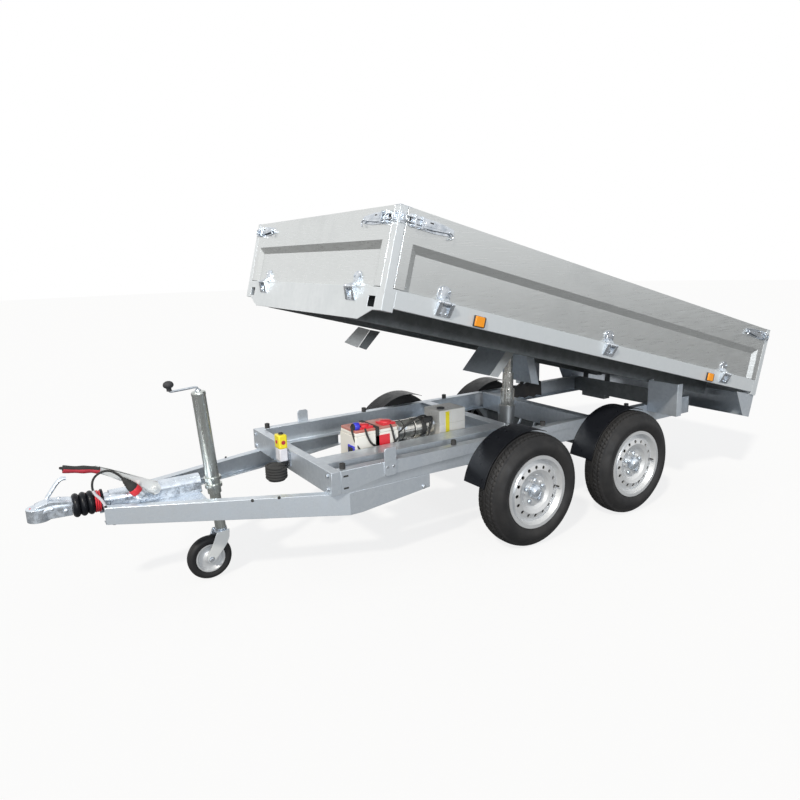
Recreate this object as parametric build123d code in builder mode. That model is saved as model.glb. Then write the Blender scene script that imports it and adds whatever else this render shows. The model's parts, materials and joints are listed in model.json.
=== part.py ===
from build123d import *
import math
import os

# Tandem-axle tipping trailer, parked on its jockey wheel with the bed raised.
# Millimetres. +X runs forward to the coupling, +Y to the left side, +Z up.
# The origin is on the ground under the middle of the trailer's overall box.

os.makedirs("parts", exist_ok=True)

# Stations along X
AXLE_MID_X = -490.0                       # point midway between the two axles
AXLE_SPACING = 727.0
RAIL_FRONT_X = AXLE_MID_X + 1359.0
RAIL_REAR_X = AXLE_MID_X - 1110.0
PIVOT_X = AXLE_MID_X - 1140.0
PIVOT_Z = 575.0
DRAWBAR_FRONT_X = AXLE_MID_X + 2200.0
DRAWBAR_REAR_X = AXLE_MID_X + 852.0

# Chassis
CHASSIS_WIDTH = 932.0
RAIL_TOP_Z = 526.0
RAIL_HEIGHT = 105.0
RAIL_FLANGE = 48.0
RAIL_WALL = 4.0
BEAM_DEPTH = 45.0
RAM_BEAM_FRONT_X = AXLE_MID_X + 222.0     # rear face of the cross beam ahead of the ram
RAM_BEAM_REAR_X = AXLE_MID_X - 200.0      # front face of the cross beam behind it
RAM_BEAM_DEPTH = 60.0
SILL_Y = (228.0, 338.0)                   # inner and outer edge of the inner sill
TAB_WIDTH = 62.0
TAB_Z = (458.0, 587.0)
TAB_WALL = 5.0
TAB_X = AXLE_MID_X + 1066.0
HINGE_WEB_Y = (190.0, 390.0)              # hinge block's inner and outer face
HINGE_DEPTH = 55.0
HINGE_BOTTOM_Z = 392.0
HINGE_WALL = 5.0
PIVOT_PIN_R = 12.5
RUNNING = 0.05                            # radial clearance of a pin in its bush
GUARD_BEHIND = 62.0                       # guard plate's face behind the rear tyre
GUARD_DEPTH = 44.0
GUARD_Z = (490.0, 675.0)
GUARD_REACH = 194.0                       # outwards of the rail
GUARD_WALL = 5.0

# Drawbar
DRAWBAR_FRONT_Y = 98.0                    # outer face at the front end
DRAWBAR_FRONT_Z = (378.0, 450.0)
DRAWBAR_KINK_X = AXLE_MID_X + 1275.0
DRAWBAR_KINK_BOTTOM_Z = 318.0
DRAWBAR_END_BOTTOM_Z = 358.0
DRAWBAR_FLANGE = 42.0
TIE_THICKNESS = 6.0

# Coupling
COUPLING_Z = 454.0
COUPLING_TIP_X = AXLE_MID_X + 2475.0
HOUSING_X = (AXLE_MID_X + 1790.0, AXLE_MID_X + 2165.0)
BELLOWS_X = (AXLE_MID_X + 2189.0, AXLE_MID_X + 2305.0)
BALL_R = 25.5
COUPLING_TUBE_R = 25.0
PLUG_FRONT = (DRAWBAR_FRONT_X - 137.0, 80.0, 484.0)
PLUG_R = 22.0
PLUG_LENGTH = 58.0
LEAD_R = 4.5

# Jockey leg
JOCKEY_X = AXLE_MID_X + 1735.0
JOCKEY_Y = 40.0
JOCKEY_TUBE_R = 30.0
JOCKEY_TUBE_Z = (400.0, 862.0)
JOCKEY_LEAN = 4.0                         # degrees, top leaning forward
JOCKEY_LEG_R = 24.0
JOCKEY_ENGAGED = 230.0                    # inner leg's length inside the tube
JOCKEY_TRAIL = 62.0
JOCKEY_WHEEL_R = 100.0
JOCKEY_WHEEL_WIDTH = 50.0

# Wheels and axles
TYRE_R = 284.0
TYRE_WIDTH = 169.0
TYRE_OUTER_Y = 693.0
RIM_FLANGE_R = 182.5
BEAD_R = 168.0
BEAD_INSET = 22.0                         # from the tyre's widest point to its bead
RIM_WALL = 4.0
RIM_GAP = 0.3                             # between rim and tyre, and between wheel and hub
DISC_BACK = 30.0                          # wheel disc's mounting face, outwards of the wheel's middle
RIM_HOLES = 16
RIM_HOLE_CIRCLE_R = 122.0
BOLT_CIRCLE_R = 56.0
HUB_R = 32.0
DRUM_R = 115.0
DRUM_WIDTH = 55.0
AXLE_TUBE = 60.0
AXLE_TUBE_Z = 372.0
ARM_LENGTH = 95.0

# Bed, in its own plane: x forward from the front edge, y left, z up from the skirt's lower edge
BED_LENGTH = 2710.0
BED_WIDTH = 1461.0
CORNER = 52.0                             # corner piece's side
TIP_NOW = 14.6                            # degrees above the lowered bed
REAR_OVERHANG = 238.0
PIVOT_RISE = -20.4                        # pivot above the skirt's lower edge
SKIRT_BOTTOM = 16.0                       # side skirt's lower edge
SKIRT_HEIGHT = 89.0                       # top of all four skirts
SKIRT_WALL = 3.0
SKIRT_LEDGE = 60.0
SKIRT_LIP = 28.0
FLOOR_THICKNESS = 3.0
BOARD_TOP = 400.0
BOARD_THICKNESS = 28.0
BOARD_GAP = 2.0
RECESS_DEPTH = 16.0
RECESS_TOP = 270.0
RECESS_SLANT = 32.0
RECESS_END = 47.0
POST = 36.0
BEAM_Y = (CHASSIS_WIDTH / 2 - 61.0, CHASSIS_WIDTH / 2 - 11.0)
BEAM_Z = (-43.0, 52.0)
CROSS_BEAM_COUNT = 5
CROSS_BEAM_FIRST = 120.0                  # from the bed's front edge to the first cross beam
CROSS_BEAM_LAST = 722.0                   # from the bed's rear edge to the last one
CROSS_BEAM_WIDTH = 60.0
PIVOT_BEAM_WIDTH = 170.0
HINGE_AXIS_Z = 82.0
SIDE_HINGE_FRONT = 284.0                  # outermost side hinges from the bed's front and rear edge
SIDE_HINGE_REAR = 378.0
END_HINGE_INSET = 250.5                   # front and rear board hinges from the bed's side
MARKER_AHEAD = 191.0                      # front side marker behind its hinge, rear one ahead of its
MARKER_BEHIND = 142.0
MARKER_Z = 44.0
LAMP_INSET = 130.5
SIDE_HINGE_OUT = 16.0
REAR_HINGE_OUT = 22.0
HINGE_LEAF = 78.0
KNUCKLE_R = 9.0
HINGE_PIN_R = 4.0
LATCH_Z = (322.0, 386.0)

# Ram
RAM_BASE_X = AXLE_MID_X - 20.0
RAM_BASE_Z = 200.0
RAM_EYE_BED_X = -1343.0
RAM_EYE_BED_Z = -10.0
BARREL_R = 48.0
STAGE_R = (40.0, 32.0, 24.0)
STAGE_SHOWN = 96.2
STAGE_LENGTH = 312.0
STAGE_STEP = 4.0                          # each inner stage is this much shorter
BORE_FLOOR = 24.0
EYE_DROP = 40.0


def bed_plane():
    """The bed's own plane: origin at the middle of its front lower edge."""
    tilt = math.radians(TIP_NOW)
    forward = Vector(math.cos(tilt), 0, math.sin(tilt))
    up = Vector(-math.sin(tilt), 0, math.cos(tilt))
    pivot = Vector(PIVOT_X, 0, PIVOT_Z)
    origin = pivot + forward * (BED_LENGTH - REAR_OVERHANG) - up * PIVOT_RISE
    return Plane(origin=origin, x_dir=forward, z_dir=up)


BED = bed_plane()
BED_SIDE = Plane(origin=BED.origin, x_dir=BED.x_dir, z_dir=(0, -1, 0))
HALF = BED_WIDTH / 2
RAIL_BOTTOM_Z = RAIL_TOP_Z - RAIL_HEIGHT
HALF_CHASSIS = CHASSIS_WIDTH / 2
WHEEL_X = {"front": AXLE_MID_X + AXLE_SPACING / 2, "rear": AXLE_MID_X - AXLE_SPACING / 2}
WHEEL_Y = TYRE_OUTER_Y - TYRE_WIDTH / 2
SIDES = (("left", 1), ("right", -1))


def write(part, name):
    """Labels a finished piece and writes it under its own name."""
    part.label = name
    export_step(part, f"parts/{name}.step")


def bed_section(x):
    """A plane across the bed at x, with y to the left and z up in the sketch."""
    return Plane(origin=BED.from_local_coords((x, 0, 0)), x_dir=(0, 1, 0), z_dir=BED.x_dir)


# Chassis rails: channels open inwards, with a guide tab on each
with BuildPart() as rails:
    for name, side in SIDES:
        outer = side * HALF_CHASSIS
        with BuildSketch(Plane.YZ.offset(RAIL_REAR_X)):
            with Locations((outer - side * RAIL_FLANGE / 2, RAIL_TOP_Z - RAIL_HEIGHT / 2)):
                Rectangle(RAIL_FLANGE, RAIL_HEIGHT)
            with Locations((outer - side * (RAIL_WALL + RAIL_FLANGE / 2), RAIL_TOP_Z - RAIL_HEIGHT / 2)):
                Rectangle(RAIL_FLANGE, RAIL_HEIGHT - 2 * RAIL_WALL, mode=Mode.SUBTRACT)
        extrude(amount=RAIL_FRONT_X - BEAM_DEPTH - RAIL_REAR_X)
        with BuildSketch(Plane.XZ.offset(-outer)):
            with Locations((TAB_X, sum(TAB_Z) / 2)):
                RectangleRounded(TAB_WIDTH, TAB_Z[1] - TAB_Z[0], 14)
        extrude(amount=-side * TAB_WALL)
write(rails.part, "rails")

# Cross beams: channels, the front one closed across the rails' ends, with the power pack's tray on the sill
BEAM_INNER_Y = HALF_CHASSIS - RAIL_FLANGE
TRAY_Z = RAIL_BOTTOM_Z + RAIL_WALL
TRAY_X = (AXLE_MID_X + 370.0, AXLE_MID_X + 1130.0)
TRAY_INNER_Y = 20.0
with BuildPart() as cross_beams:
    beams = (
        # rear face, depth, half length, side of the open face
        (RAIL_FRONT_X - BEAM_DEPTH, BEAM_DEPTH, HALF_CHASSIS, -1),
        (RAM_BEAM_FRONT_X, RAM_BEAM_DEPTH, BEAM_INNER_Y, 1),
        (RAM_BEAM_REAR_X - RAM_BEAM_DEPTH, RAM_BEAM_DEPTH, BEAM_INNER_Y, -1),
    )
    for rear, depth, half, open_side in beams:
        with BuildSketch(Plane.XZ.offset(-half)):
            with Locations((rear + depth / 2, RAIL_TOP_Z - RAIL_HEIGHT / 2)):
                Rectangle(depth, RAIL_HEIGHT)
            with Locations((rear + depth / 2 + open_side * RAIL_WALL, RAIL_TOP_Z - RAIL_HEIGHT / 2)):
                Rectangle(depth, RAIL_HEIGHT - 2 * RAIL_WALL, mode=Mode.SUBTRACT)
        extrude(amount=2 * half)
    sill_rear = RAM_BEAM_FRONT_X + RAM_BEAM_DEPTH
    with BuildSketch(Plane.YZ.offset(sill_rear)):
        with Locations((sum(SILL_Y) / 2, RAIL_TOP_Z - RAIL_HEIGHT / 2)):
            Rectangle(SILL_Y[1] - SILL_Y[0], RAIL_HEIGHT)
        with Locations((sum(SILL_Y) / 2 - RAIL_WALL, RAIL_TOP_Z - RAIL_HEIGHT / 2)):
            Rectangle(SILL_Y[1] - SILL_Y[0], RAIL_HEIGHT - 2 * RAIL_WALL, mode=Mode.SUBTRACT)
    extrude(amount=RAIL_FRONT_X - BEAM_DEPTH - sill_rear)
    for _, side in SIDES:
        with BuildSketch(Plane.XZ.offset(-side * HALF_CHASSIS)):
            with Locations((RAIL_FRONT_X - BEAM_DEPTH / 2, RAIL_TOP_Z - RAIL_HEIGHT / 2)):
                Rectangle(BEAM_DEPTH, RAIL_HEIGHT)
        extrude(amount=side * RAIL_WALL)
    tray_outer_y = SILL_Y[1] - RAIL_WALL
    with BuildSketch(Plane.XY.offset(TRAY_Z)):
        with Locations((sum(TRAY_X) / 2, (TRAY_INNER_Y + tray_outer_y) / 2)):
            Rectangle(TRAY_X[1] - TRAY_X[0], tray_outer_y - TRAY_INNER_Y)
    extrude(amount=RAIL_WALL)
write(cross_beams.part, "cross_beams")

# Rear hinge blocks: a web across the chassis, and on each side two ears with the pivot pin fixed in them
REAR_WEB_X = RAIL_REAR_X - HINGE_WALL
with BuildPart() as hinge_blocks:
    with BuildSketch(Plane.YZ.offset(REAR_WEB_X)):
        with Locations((0, RAIL_TOP_Z - RAIL_HEIGHT / 2)):
            Rectangle(CHASSIS_WIDTH, RAIL_HEIGHT)
        for side in (1, -1):
            with Locations((side * sum(HINGE_WEB_Y) / 2, (HINGE_BOTTOM_Z + RAIL_TOP_Z) / 2)):
                Rectangle(HINGE_WEB_Y[1] - HINGE_WEB_Y[0], RAIL_TOP_Z - HINGE_BOTTOM_Z)
    extrude(amount=HINGE_WALL)
    ear_faces = [s * y for s in (1, -1) for y in (HINGE_WEB_Y[0], HINGE_WEB_Y[1] - HINGE_WALL)]
    for low in [y if y > 0 else y - HINGE_WALL for y in ear_faces]:
        with BuildSketch(Plane.XZ.offset(-(low + HINGE_WALL))):
            with BuildLine():
                Polyline(
                    (REAR_WEB_X, HINGE_BOTTOM_Z),
                    (REAR_WEB_X - HINGE_DEPTH, HINGE_BOTTOM_Z),
                    (PIVOT_X - 26, PIVOT_Z - 30),
                    (PIVOT_X - 26, PIVOT_Z),
                    (PIVOT_X + 22, PIVOT_Z),
                    (REAR_WEB_X, RAIL_TOP_Z),
                    close=True,
                )
            make_face()
            with Locations((PIVOT_X - 2, PIVOT_Z)):
                Circle(24)
        extrude(amount=HINGE_WALL)
    for side in (1, -1):
        with BuildSketch(Plane.XZ.offset(-side * (HINGE_WEB_Y[0] - 8))):
            with Locations((PIVOT_X, PIVOT_Z)):
                Circle(PIVOT_PIN_R)
        extrude(amount=-side * (HINGE_WEB_Y[1] - HINGE_WEB_Y[0] + 16))
write(hinge_blocks.part, "hinge_blocks")

# Guard plates: a folded plate on each rail's outer face, behind the rear wheel
GUARD_X = WHEEL_X["rear"] - TYRE_R - GUARD_BEHIND
GUARD_OUTER_Y = HALF_CHASSIS + GUARD_REACH
with BuildPart() as guard_plates:
    with BuildSketch(Plane.XY.offset(GUARD_Z[0])):
        with BuildLine():
            Polyline(
                (GUARD_X - GUARD_DEPTH, HALF_CHASSIS),
                (GUARD_X, HALF_CHASSIS),
                (GUARD_X, GUARD_OUTER_Y),
                (GUARD_X - GUARD_DEPTH, GUARD_OUTER_Y),
                (GUARD_X - GUARD_DEPTH, GUARD_OUTER_Y - GUARD_WALL),
                (GUARD_X - GUARD_WALL, GUARD_OUTER_Y - GUARD_WALL),
                (GUARD_X - GUARD_WALL, HALF_CHASSIS + GUARD_WALL),
                (GUARD_X - GUARD_DEPTH, HALF_CHASSIS + GUARD_WALL),
                close=True,
            )
        make_face()
    extrude(amount=GUARD_Z[1] - GUARD_Z[0])
    mirror(about=Plane.XZ)
write(guard_plates.part, "guard_plates")

# Ram cradle: two cheek plates hung from the ram beams, with the base pin between them
CHEEK_Y = 58.0
CHEEK_WALL = 8.0
with BuildPart() as ram_cradle:
    front = RAM_BEAM_FRONT_X
    rear = RAM_BEAM_REAR_X
    for side in (1, -1):
        low = CHEEK_Y if side > 0 else -CHEEK_Y - CHEEK_WALL
        with BuildSketch(Plane.XZ.offset(-(low + CHEEK_WALL))):
            with BuildLine():
                Polyline(
                    (front + RAM_BEAM_DEPTH, RAIL_BOTTOM_Z),
                    (front, RAIL_BOTTOM_Z),
                    (front - 14, RAIL_BOTTOM_Z - 26),
                    (RAM_BASE_X + 90, RAM_BASE_Z + 60),
                    (RAM_BASE_X - 90, RAM_BASE_Z + 60),
                    (rear + 14, RAIL_BOTTOM_Z - 26),
                    (rear, RAIL_BOTTOM_Z),
                    (rear - 16, RAIL_BOTTOM_Z),
                    (RAM_BASE_X - 70, RAM_BASE_Z - 34),
                    (RAM_BASE_X + 70, RAM_BASE_Z - 34),
                    close=True,
                )
            make_face()
        extrude(amount=CHEEK_WALL)
    with BuildSketch(Plane.XZ.offset(-CHEEK_Y)):
        with Locations((RAM_BASE_X, RAM_BASE_Z)):
            Circle(15)
    extrude(amount=2 * CHEEK_Y)
write(ram_cradle.part, "ram_cradle")


def drawbar_solid(inset):
    """One drawbar's full outline, or with an inset the space inside its channel."""
    lean = math.atan2(HALF_CHASSIS - DRAWBAR_FRONT_Y, DRAWBAR_FRONT_X - DRAWBAR_KINK_X)
    step = DRAWBAR_FLANGE / math.cos(lean)
    turn = DRAWBAR_FLANGE * math.tan(lean / 2)
    shift = inset / math.cos(lean)
    with BuildPart() as bar:
        with BuildSketch(Plane.XY):
            with BuildLine():
                Polyline(
                    (DRAWBAR_FRONT_X, DRAWBAR_FRONT_Y - shift),
                    (DRAWBAR_KINK_X - inset * math.tan(lean / 2), HALF_CHASSIS - inset),
                    (DRAWBAR_REAR_X, HALF_CHASSIS - inset),
                    (DRAWBAR_REAR_X, HALF_CHASSIS - DRAWBAR_FLANGE - inset),
                    (DRAWBAR_KINK_X - turn, HALF_CHASSIS - DRAWBAR_FLANGE - inset),
                    (DRAWBAR_FRONT_X, DRAWBAR_FRONT_Y - step - shift),
                    close=True,
                )
            make_face()
        extrude(amount=RAIL_TOP_Z)
        with BuildSketch(Plane.XZ):
            with BuildLine():
                Polyline(
                    (DRAWBAR_FRONT_X, DRAWBAR_FRONT_Z[0] + inset),
                    (DRAWBAR_FRONT_X, DRAWBAR_FRONT_Z[1] - inset),
                    (RAIL_FRONT_X, RAIL_BOTTOM_Z - inset),
                    (DRAWBAR_REAR_X, RAIL_BOTTOM_Z - inset),
                    (DRAWBAR_REAR_X, DRAWBAR_END_BOTTOM_Z + inset),
                    (DRAWBAR_KINK_X - 60, DRAWBAR_KINK_BOTTOM_Z + inset),
                    (DRAWBAR_KINK_X, DRAWBAR_KINK_BOTTOM_Z + inset),
                    close=True,
                )
            make_face()
        extrude(amount=-CHASSIS_WIDTH, mode=Mode.INTERSECT)
    return bar.part


with BuildPart() as drawbar:
    add(drawbar_solid(0))
    add(drawbar_solid(RAIL_WALL), mode=Mode.SUBTRACT)
    mirror(about=Plane.XZ)
write(drawbar.part, "drawbar")

# Overrun housing: a saddle round the drawtube on a tie plate between the drawbar's front ends,
# with a holder at its left side where the lead's plug is parked
TIE_TOP_Z = COUPLING_Z - COUPLING_TUBE_R - 12.0
TIE_X = (HOUSING_X[0] + 10, HOUSING_X[1] + 10)
PLUG = Plane(origin=PLUG_FRONT, x_dir=(0, 1, 0), z_dir=(0.595, 0, 0.804))
HOLDER_X = (PLUG_FRONT[0] - 32, PLUG_FRONT[0] + 18)
HOLDER_TOP_Z = 463.0
with BuildPart() as coupling_housing:
    length = HOUSING_X[1] - HOUSING_X[0]
    with BuildSketch(Plane.YZ.offset(HOUSING_X[0])):
        with Locations((0, (TIE_TOP_Z + COUPLING_Z) / 2)):
            Rectangle(2 * COUPLING_TUBE_R + 24, COUPLING_Z - TIE_TOP_Z)
        with Locations((0, COUPLING_Z)):
            Circle(COUPLING_TUBE_R + 12)
    extrude(amount=length)
    with BuildSketch(Plane.XY.offset(TIE_TOP_Z)):
        with Locations(((HOUSING_X[0] + HOUSING_X[1]) / 2, 0)):
            RectangleRounded(length, 104, 12)
    extrude(amount=8)
    lean_slope = (HALF_CHASSIS - DRAWBAR_FRONT_Y) / (DRAWBAR_FRONT_X - DRAWBAR_KINK_X)
    web_back = RAIL_WALL / math.cos(math.atan(lean_slope))
    rear_y = DRAWBAR_FRONT_Y + lean_slope * (DRAWBAR_FRONT_X - TIE_X[0]) - web_back
    front_y = DRAWBAR_FRONT_Y + lean_slope * (DRAWBAR_FRONT_X - TIE_X[1]) - web_back
    with BuildSketch(Plane.XY.offset(TIE_TOP_Z - TIE_THICKNESS)):
        with BuildLine():
            Polyline(
                (TIE_X[1], front_y),
                (TIE_X[1], -front_y),
                (TIE_X[0], -rear_y),
                (TIE_X[0], rear_y),
                close=True,
            )
        make_face()
    extrude(amount=TIE_THICKNESS)
    with BuildSketch(Plane.XY.offset(HOLDER_TOP_Z)):
        with Locations((sum(HOLDER_X) / 2, (COUPLING_TUBE_R + PLUG_FRONT[1] + PLUG_R) / 2)):
            Rectangle(HOLDER_X[1] - HOLDER_X[0], PLUG_FRONT[1] + PLUG_R - COUPLING_TUBE_R)
    extrude(amount=-7)
    with BuildSketch(PLUG):
        Circle(PLUG_R + 2)
    extrude(amount=-20)
write(coupling_housing.part, "coupling_housing")

# The parked plug, and the lead that rises from the drawbar and arches over into it
with BuildPart() as plug:
    with BuildSketch(PLUG):
        Circle(PLUG_R)
    extrude(amount=PLUG_LENGTH)
    with BuildSketch(PLUG.offset(PLUG_LENGTH)):
        Circle(12)
    extrude(amount=33)
write(plug.part, "plug")

LEAD_ROUTE = (
    # forward of the drawbar's front end, y, z
    (-8.0, 88.0, 450.2),
    (-2.0, 88.0, 480.0),
    (34.0, 82.0, 520.0),
    (28.0, 78.0, 578.0),
    (-16.0, 80.0, 603.0),
    (-59.0, 80.0, 589.4),
    (-82.8, 80.0, 557.3),
)
lead_points = [Vector(DRAWBAR_FRONT_X + x, y, z) for x, y, z in LEAD_ROUTE]
lead_runs = [end - start for start, end in zip(lead_points, lead_points[1:])]
lead_radii = [
    0.45 * min(first.length, second.length) / math.tan(math.radians(first.get_angle(second)) / 2)
    for first, second in zip(lead_runs, lead_runs[1:])
]
print("lead radii", [round(radius, 1) for radius in lead_radii])
with BuildPart() as plug_lead:
    with BuildLine():
        lead_path = FilletPolyline(*lead_points, radius=lead_radii)
    with BuildSketch(Plane(origin=lead_points[0], z_dir=lead_runs[0])):
        Circle(LEAD_R)
    sweep(path=lead_path)
print("lead length", round(lead_path.length, 1))
write(plug_lead.part, "plug_lead")

with BuildPart() as bellows:
    ring_count = 6
    pitch = (BELLOWS_X[1] - BELLOWS_X[0]) / ring_count
    with BuildSketch(Plane.XZ):
        with BuildLine():
            points = [(BELLOWS_X[0], COUPLING_TUBE_R + 1)]
            for ring in range(ring_count):
                start = BELLOWS_X[0] + ring * pitch
                points += [(start, 36.0), (start + pitch / 2, 50.0)]
            points += [(BELLOWS_X[1], 36.0), (BELLOWS_X[1], COUPLING_TUBE_R + 1)]
            Polyline(*[(x, COUPLING_Z + r) for x, r in points], close=True)
        make_face()
    revolve(axis=Axis((0, 0, COUPLING_Z), (1, 0, 0)))
write(bellows.part, "bellows")

# Coupling head: drawtube, pressed jaw and the ball's socket below
BALL_X = COUPLING_TIP_X - 48.0
with BuildPart() as coupling_head:
    with BuildSketch(Plane.YZ.offset(HOUSING_X[1])):
        with Locations((0, COUPLING_Z)):
            Circle(COUPLING_TUBE_R)
    extrude(amount=BELLOWS_X[1] + 30 - HOUSING_X[1])
    with BuildSketch(Plane.XY.offset(COUPLING_Z - 30)):
        with Locations((BALL_X, 0)):
            Circle(44)
    extrude(amount=52)
    with BuildSketch(Plane.XZ.offset(-34)):
        with BuildLine():
            Polyline(
                (BELLOWS_X[1] + 4, COUPLING_Z - 28),
                (BELLOWS_X[1] + 4, COUPLING_Z + 30),
                (BALL_X - 40, COUPLING_Z + 44),
                (BALL_X + 10, COUPLING_Z + 30),
                (BALL_X + 10, COUPLING_Z - 24),
                close=True,
            )
        make_face()
    extrude(amount=68)
    with BuildSketch(Plane.XY.offset(COUPLING_Z - 30)):
        with Locations((BALL_X, 0)):
            Circle(BALL_R)
    extrude(amount=26, mode=Mode.SUBTRACT)
write(coupling_head.part, "coupling_head")

with BuildPart() as coupling_handle:
    with BuildSketch(Plane.XZ.offset(-9)):
        with BuildLine():
            path = Polyline(
                (BALL_X - 34, COUPLING_Z + 49.6),
                (BALL_X - 70, COUPLING_Z + 100),
                (BALL_X - 96, COUPLING_Z + 124),
                (BALL_X - 112, COUPLING_Z + 122),
            )
            offset(path, amount=7)
        make_face()
    extrude(amount=18)
write(coupling_handle.part, "coupling_handle")

# Hand-brake lever: a long arm from the housing's side with a grip at the front
BRAKE_PIVOT = (AXLE_MID_X + 1990.0, COUPLING_Z + 22)
BRAKE_KINK = (AXLE_MID_X + 2210.0, COUPLING_Z + 152)
BRAKE_TIP = (AXLE_MID_X + 2330.0, COUPLING_Z + 176)
BRAKE_Y = (COUPLING_TUBE_R + 12, COUPLING_TUBE_R + 22)
with BuildPart() as brake_lever:
    with BuildSketch(Plane.XZ.offset(-BRAKE_Y[1])):
        with BuildLine():
            arm = Polyline(BRAKE_PIVOT, BRAKE_KINK, BRAKE_TIP)
            offset(arm, amount=11)
        make_face()
        with Locations(BRAKE_PIVOT):
            Circle(30)
    extrude(amount=BRAKE_Y[1] - BRAKE_Y[0])
write(brake_lever.part, "brake_lever")

# Jockey leg: everything on one leaning axis
JOCKEY = Plane(
    origin=(JOCKEY_X, JOCKEY_Y, JOCKEY_TUBE_Z[0]),
    x_dir=(math.cos(math.radians(JOCKEY_LEAN)), 0, -math.sin(math.radians(JOCKEY_LEAN))),
    z_dir=(math.sin(math.radians(JOCKEY_LEAN)), 0, math.cos(math.radians(JOCKEY_LEAN))),
)
TUBE_LENGTH = JOCKEY_TUBE_Z[1] - JOCKEY_TUBE_Z[0]
with BuildPart() as jockey_tube:
    with BuildSketch(JOCKEY):
        Circle(JOCKEY_TUBE_R)
        Circle(JOCKEY_LEG_R + 0.5, mode=Mode.SUBTRACT)
    extrude(amount=TUBE_LENGTH)
    with BuildSketch(JOCKEY.offset(TUBE_LENGTH)):
        Circle(JOCKEY_TUBE_R + 2)
    extrude(amount=8)
    # Crank on top
    top = JOCKEY.offset(TUBE_LENGTH + 8)
    with BuildSketch(top):
        Circle(9)
    extrude(amount=22)
    with BuildSketch(top.offset(14)):
        with BuildLine():
            arm = Line((0, 0), (118, 0))
            offset(arm, amount=9)
        make_face()
    extrude(amount=8)
    with BuildSketch(top.offset(22)):
        with Locations((118, 0)):
            Circle(12)
    extrude(amount=44)
    # Clamp round the tube, with its bracket to the overrun housing
    with BuildSketch(JOCKEY.offset(30)):
        Circle(JOCKEY_TUBE_R + 9)
        with Locations((0, -JOCKEY_TUBE_R - 6)):
            Rectangle(46, 30)
        Circle(JOCKEY_TUBE_R, mode=Mode.SUBTRACT)
    extrude(amount=44)
    with BuildSketch(Plane.XY.offset(COUPLING_Z - 16)):
        with Locations(((JOCKEY_X + HOUSING_X[0]) / 2, -8)):
            Rectangle(HOUSING_X[0] - JOCKEY_X, 30)
    extrude(amount=30)
    with BuildSketch(JOCKEY):
        Circle(JOCKEY_LEG_R + 0.5)
    extrude(amount=TUBE_LENGTH, mode=Mode.SUBTRACT)
write(jockey_tube.part, "jockey_tube")

FORK_TOP = 168.0                          # height of the inner leg's lower end
leg_bottom = -(JOCKEY_TUBE_Z[0] - FORK_TOP - 62) / math.cos(math.radians(JOCKEY_LEAN))
with BuildPart() as jockey_leg:
    with BuildSketch(JOCKEY.offset(leg_bottom)):
        Circle(JOCKEY_LEG_R)
    extrude(amount=-leg_bottom + JOCKEY_ENGAGED)
write(jockey_leg.part, "jockey_leg")

leg_foot = JOCKEY.from_local_coords((0, 0, leg_bottom))
FORK_X = leg_foot.X
WHEEL_JX = FORK_X + JOCKEY_TRAIL
with BuildPart() as jockey_fork:
    with BuildSketch(JOCKEY.offset(leg_bottom - 14)):
        Circle(27)
    extrude(amount=13.5)
    for side in (1, -1):
        inner = JOCKEY_Y + side * (JOCKEY_WHEEL_WIDTH / 2 + 5)
        low = inner if side > 0 else inner - 4
        with BuildSketch(Plane.XZ.offset(-(low + 4))):
            with BuildLine():
                Polyline(
                    (FORK_X - 30, leg_foot.Z - 6),
                    (FORK_X + 28, leg_foot.Z - 10),
                    (WHEEL_JX + 16, JOCKEY_WHEEL_R),
                    (WHEEL_JX - 16, JOCKEY_WHEEL_R - 8),
                    close=True,
                )
            make_face()
            with Locations((WHEEL_JX, JOCKEY_WHEEL_R)):
                Circle(17)
        extrude(amount=4)
    with BuildSketch(Plane.XY.offset(leg_foot.Z - 22)):
        with Locations((FORK_X, JOCKEY_Y)):
            Rectangle(56, JOCKEY_WHEEL_WIDTH + 18)
    extrude(amount=8)
    with BuildSketch(Plane.XZ.offset(-(JOCKEY_Y + JOCKEY_WHEEL_WIDTH / 2 + 8))):
        with Locations((WHEEL_JX, JOCKEY_WHEEL_R)):
            Circle(8)
    extrude(amount=JOCKEY_WHEEL_WIDTH + 16)
write(jockey_fork.part, "jockey_fork")

JOCKEY_TYRE_OUTLINE = (
    # inwards from the tyre's side, below its crown
    (0.0, 34.0), (0.0, 15.0), (2.5, 7.0), (8.0, 2.0), (16.0, 0.0),
)
with BuildPart() as jockey_tyre:
    outline = [(inset - JOCKEY_WHEEL_WIDTH / 2, JOCKEY_WHEEL_R - drop) for inset, drop in JOCKEY_TYRE_OUTLINE]
    outline += [(-across, radius) for across, radius in reversed(outline)]
    with BuildSketch(Plane.YZ.offset(WHEEL_JX)):
        with BuildLine():
            Polyline(*[(JOCKEY_Y + across, JOCKEY_WHEEL_R + radius) for across, radius in outline], close=True)
        make_face()
    revolve(axis=Axis((WHEEL_JX, JOCKEY_Y, JOCKEY_WHEEL_R), (0, 1, 0)))
write(jockey_tyre.part, "jockey_tyre")

with BuildPart() as jockey_rim:
    with BuildSketch(Plane.XZ.offset(-(JOCKEY_Y + 20))):
        with Locations((WHEEL_JX, JOCKEY_WHEEL_R)):
            Circle(66)
            Circle(8.05, mode=Mode.SUBTRACT)
    extrude(amount=40)
write(jockey_rim.part, "jockey_rim")


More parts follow.
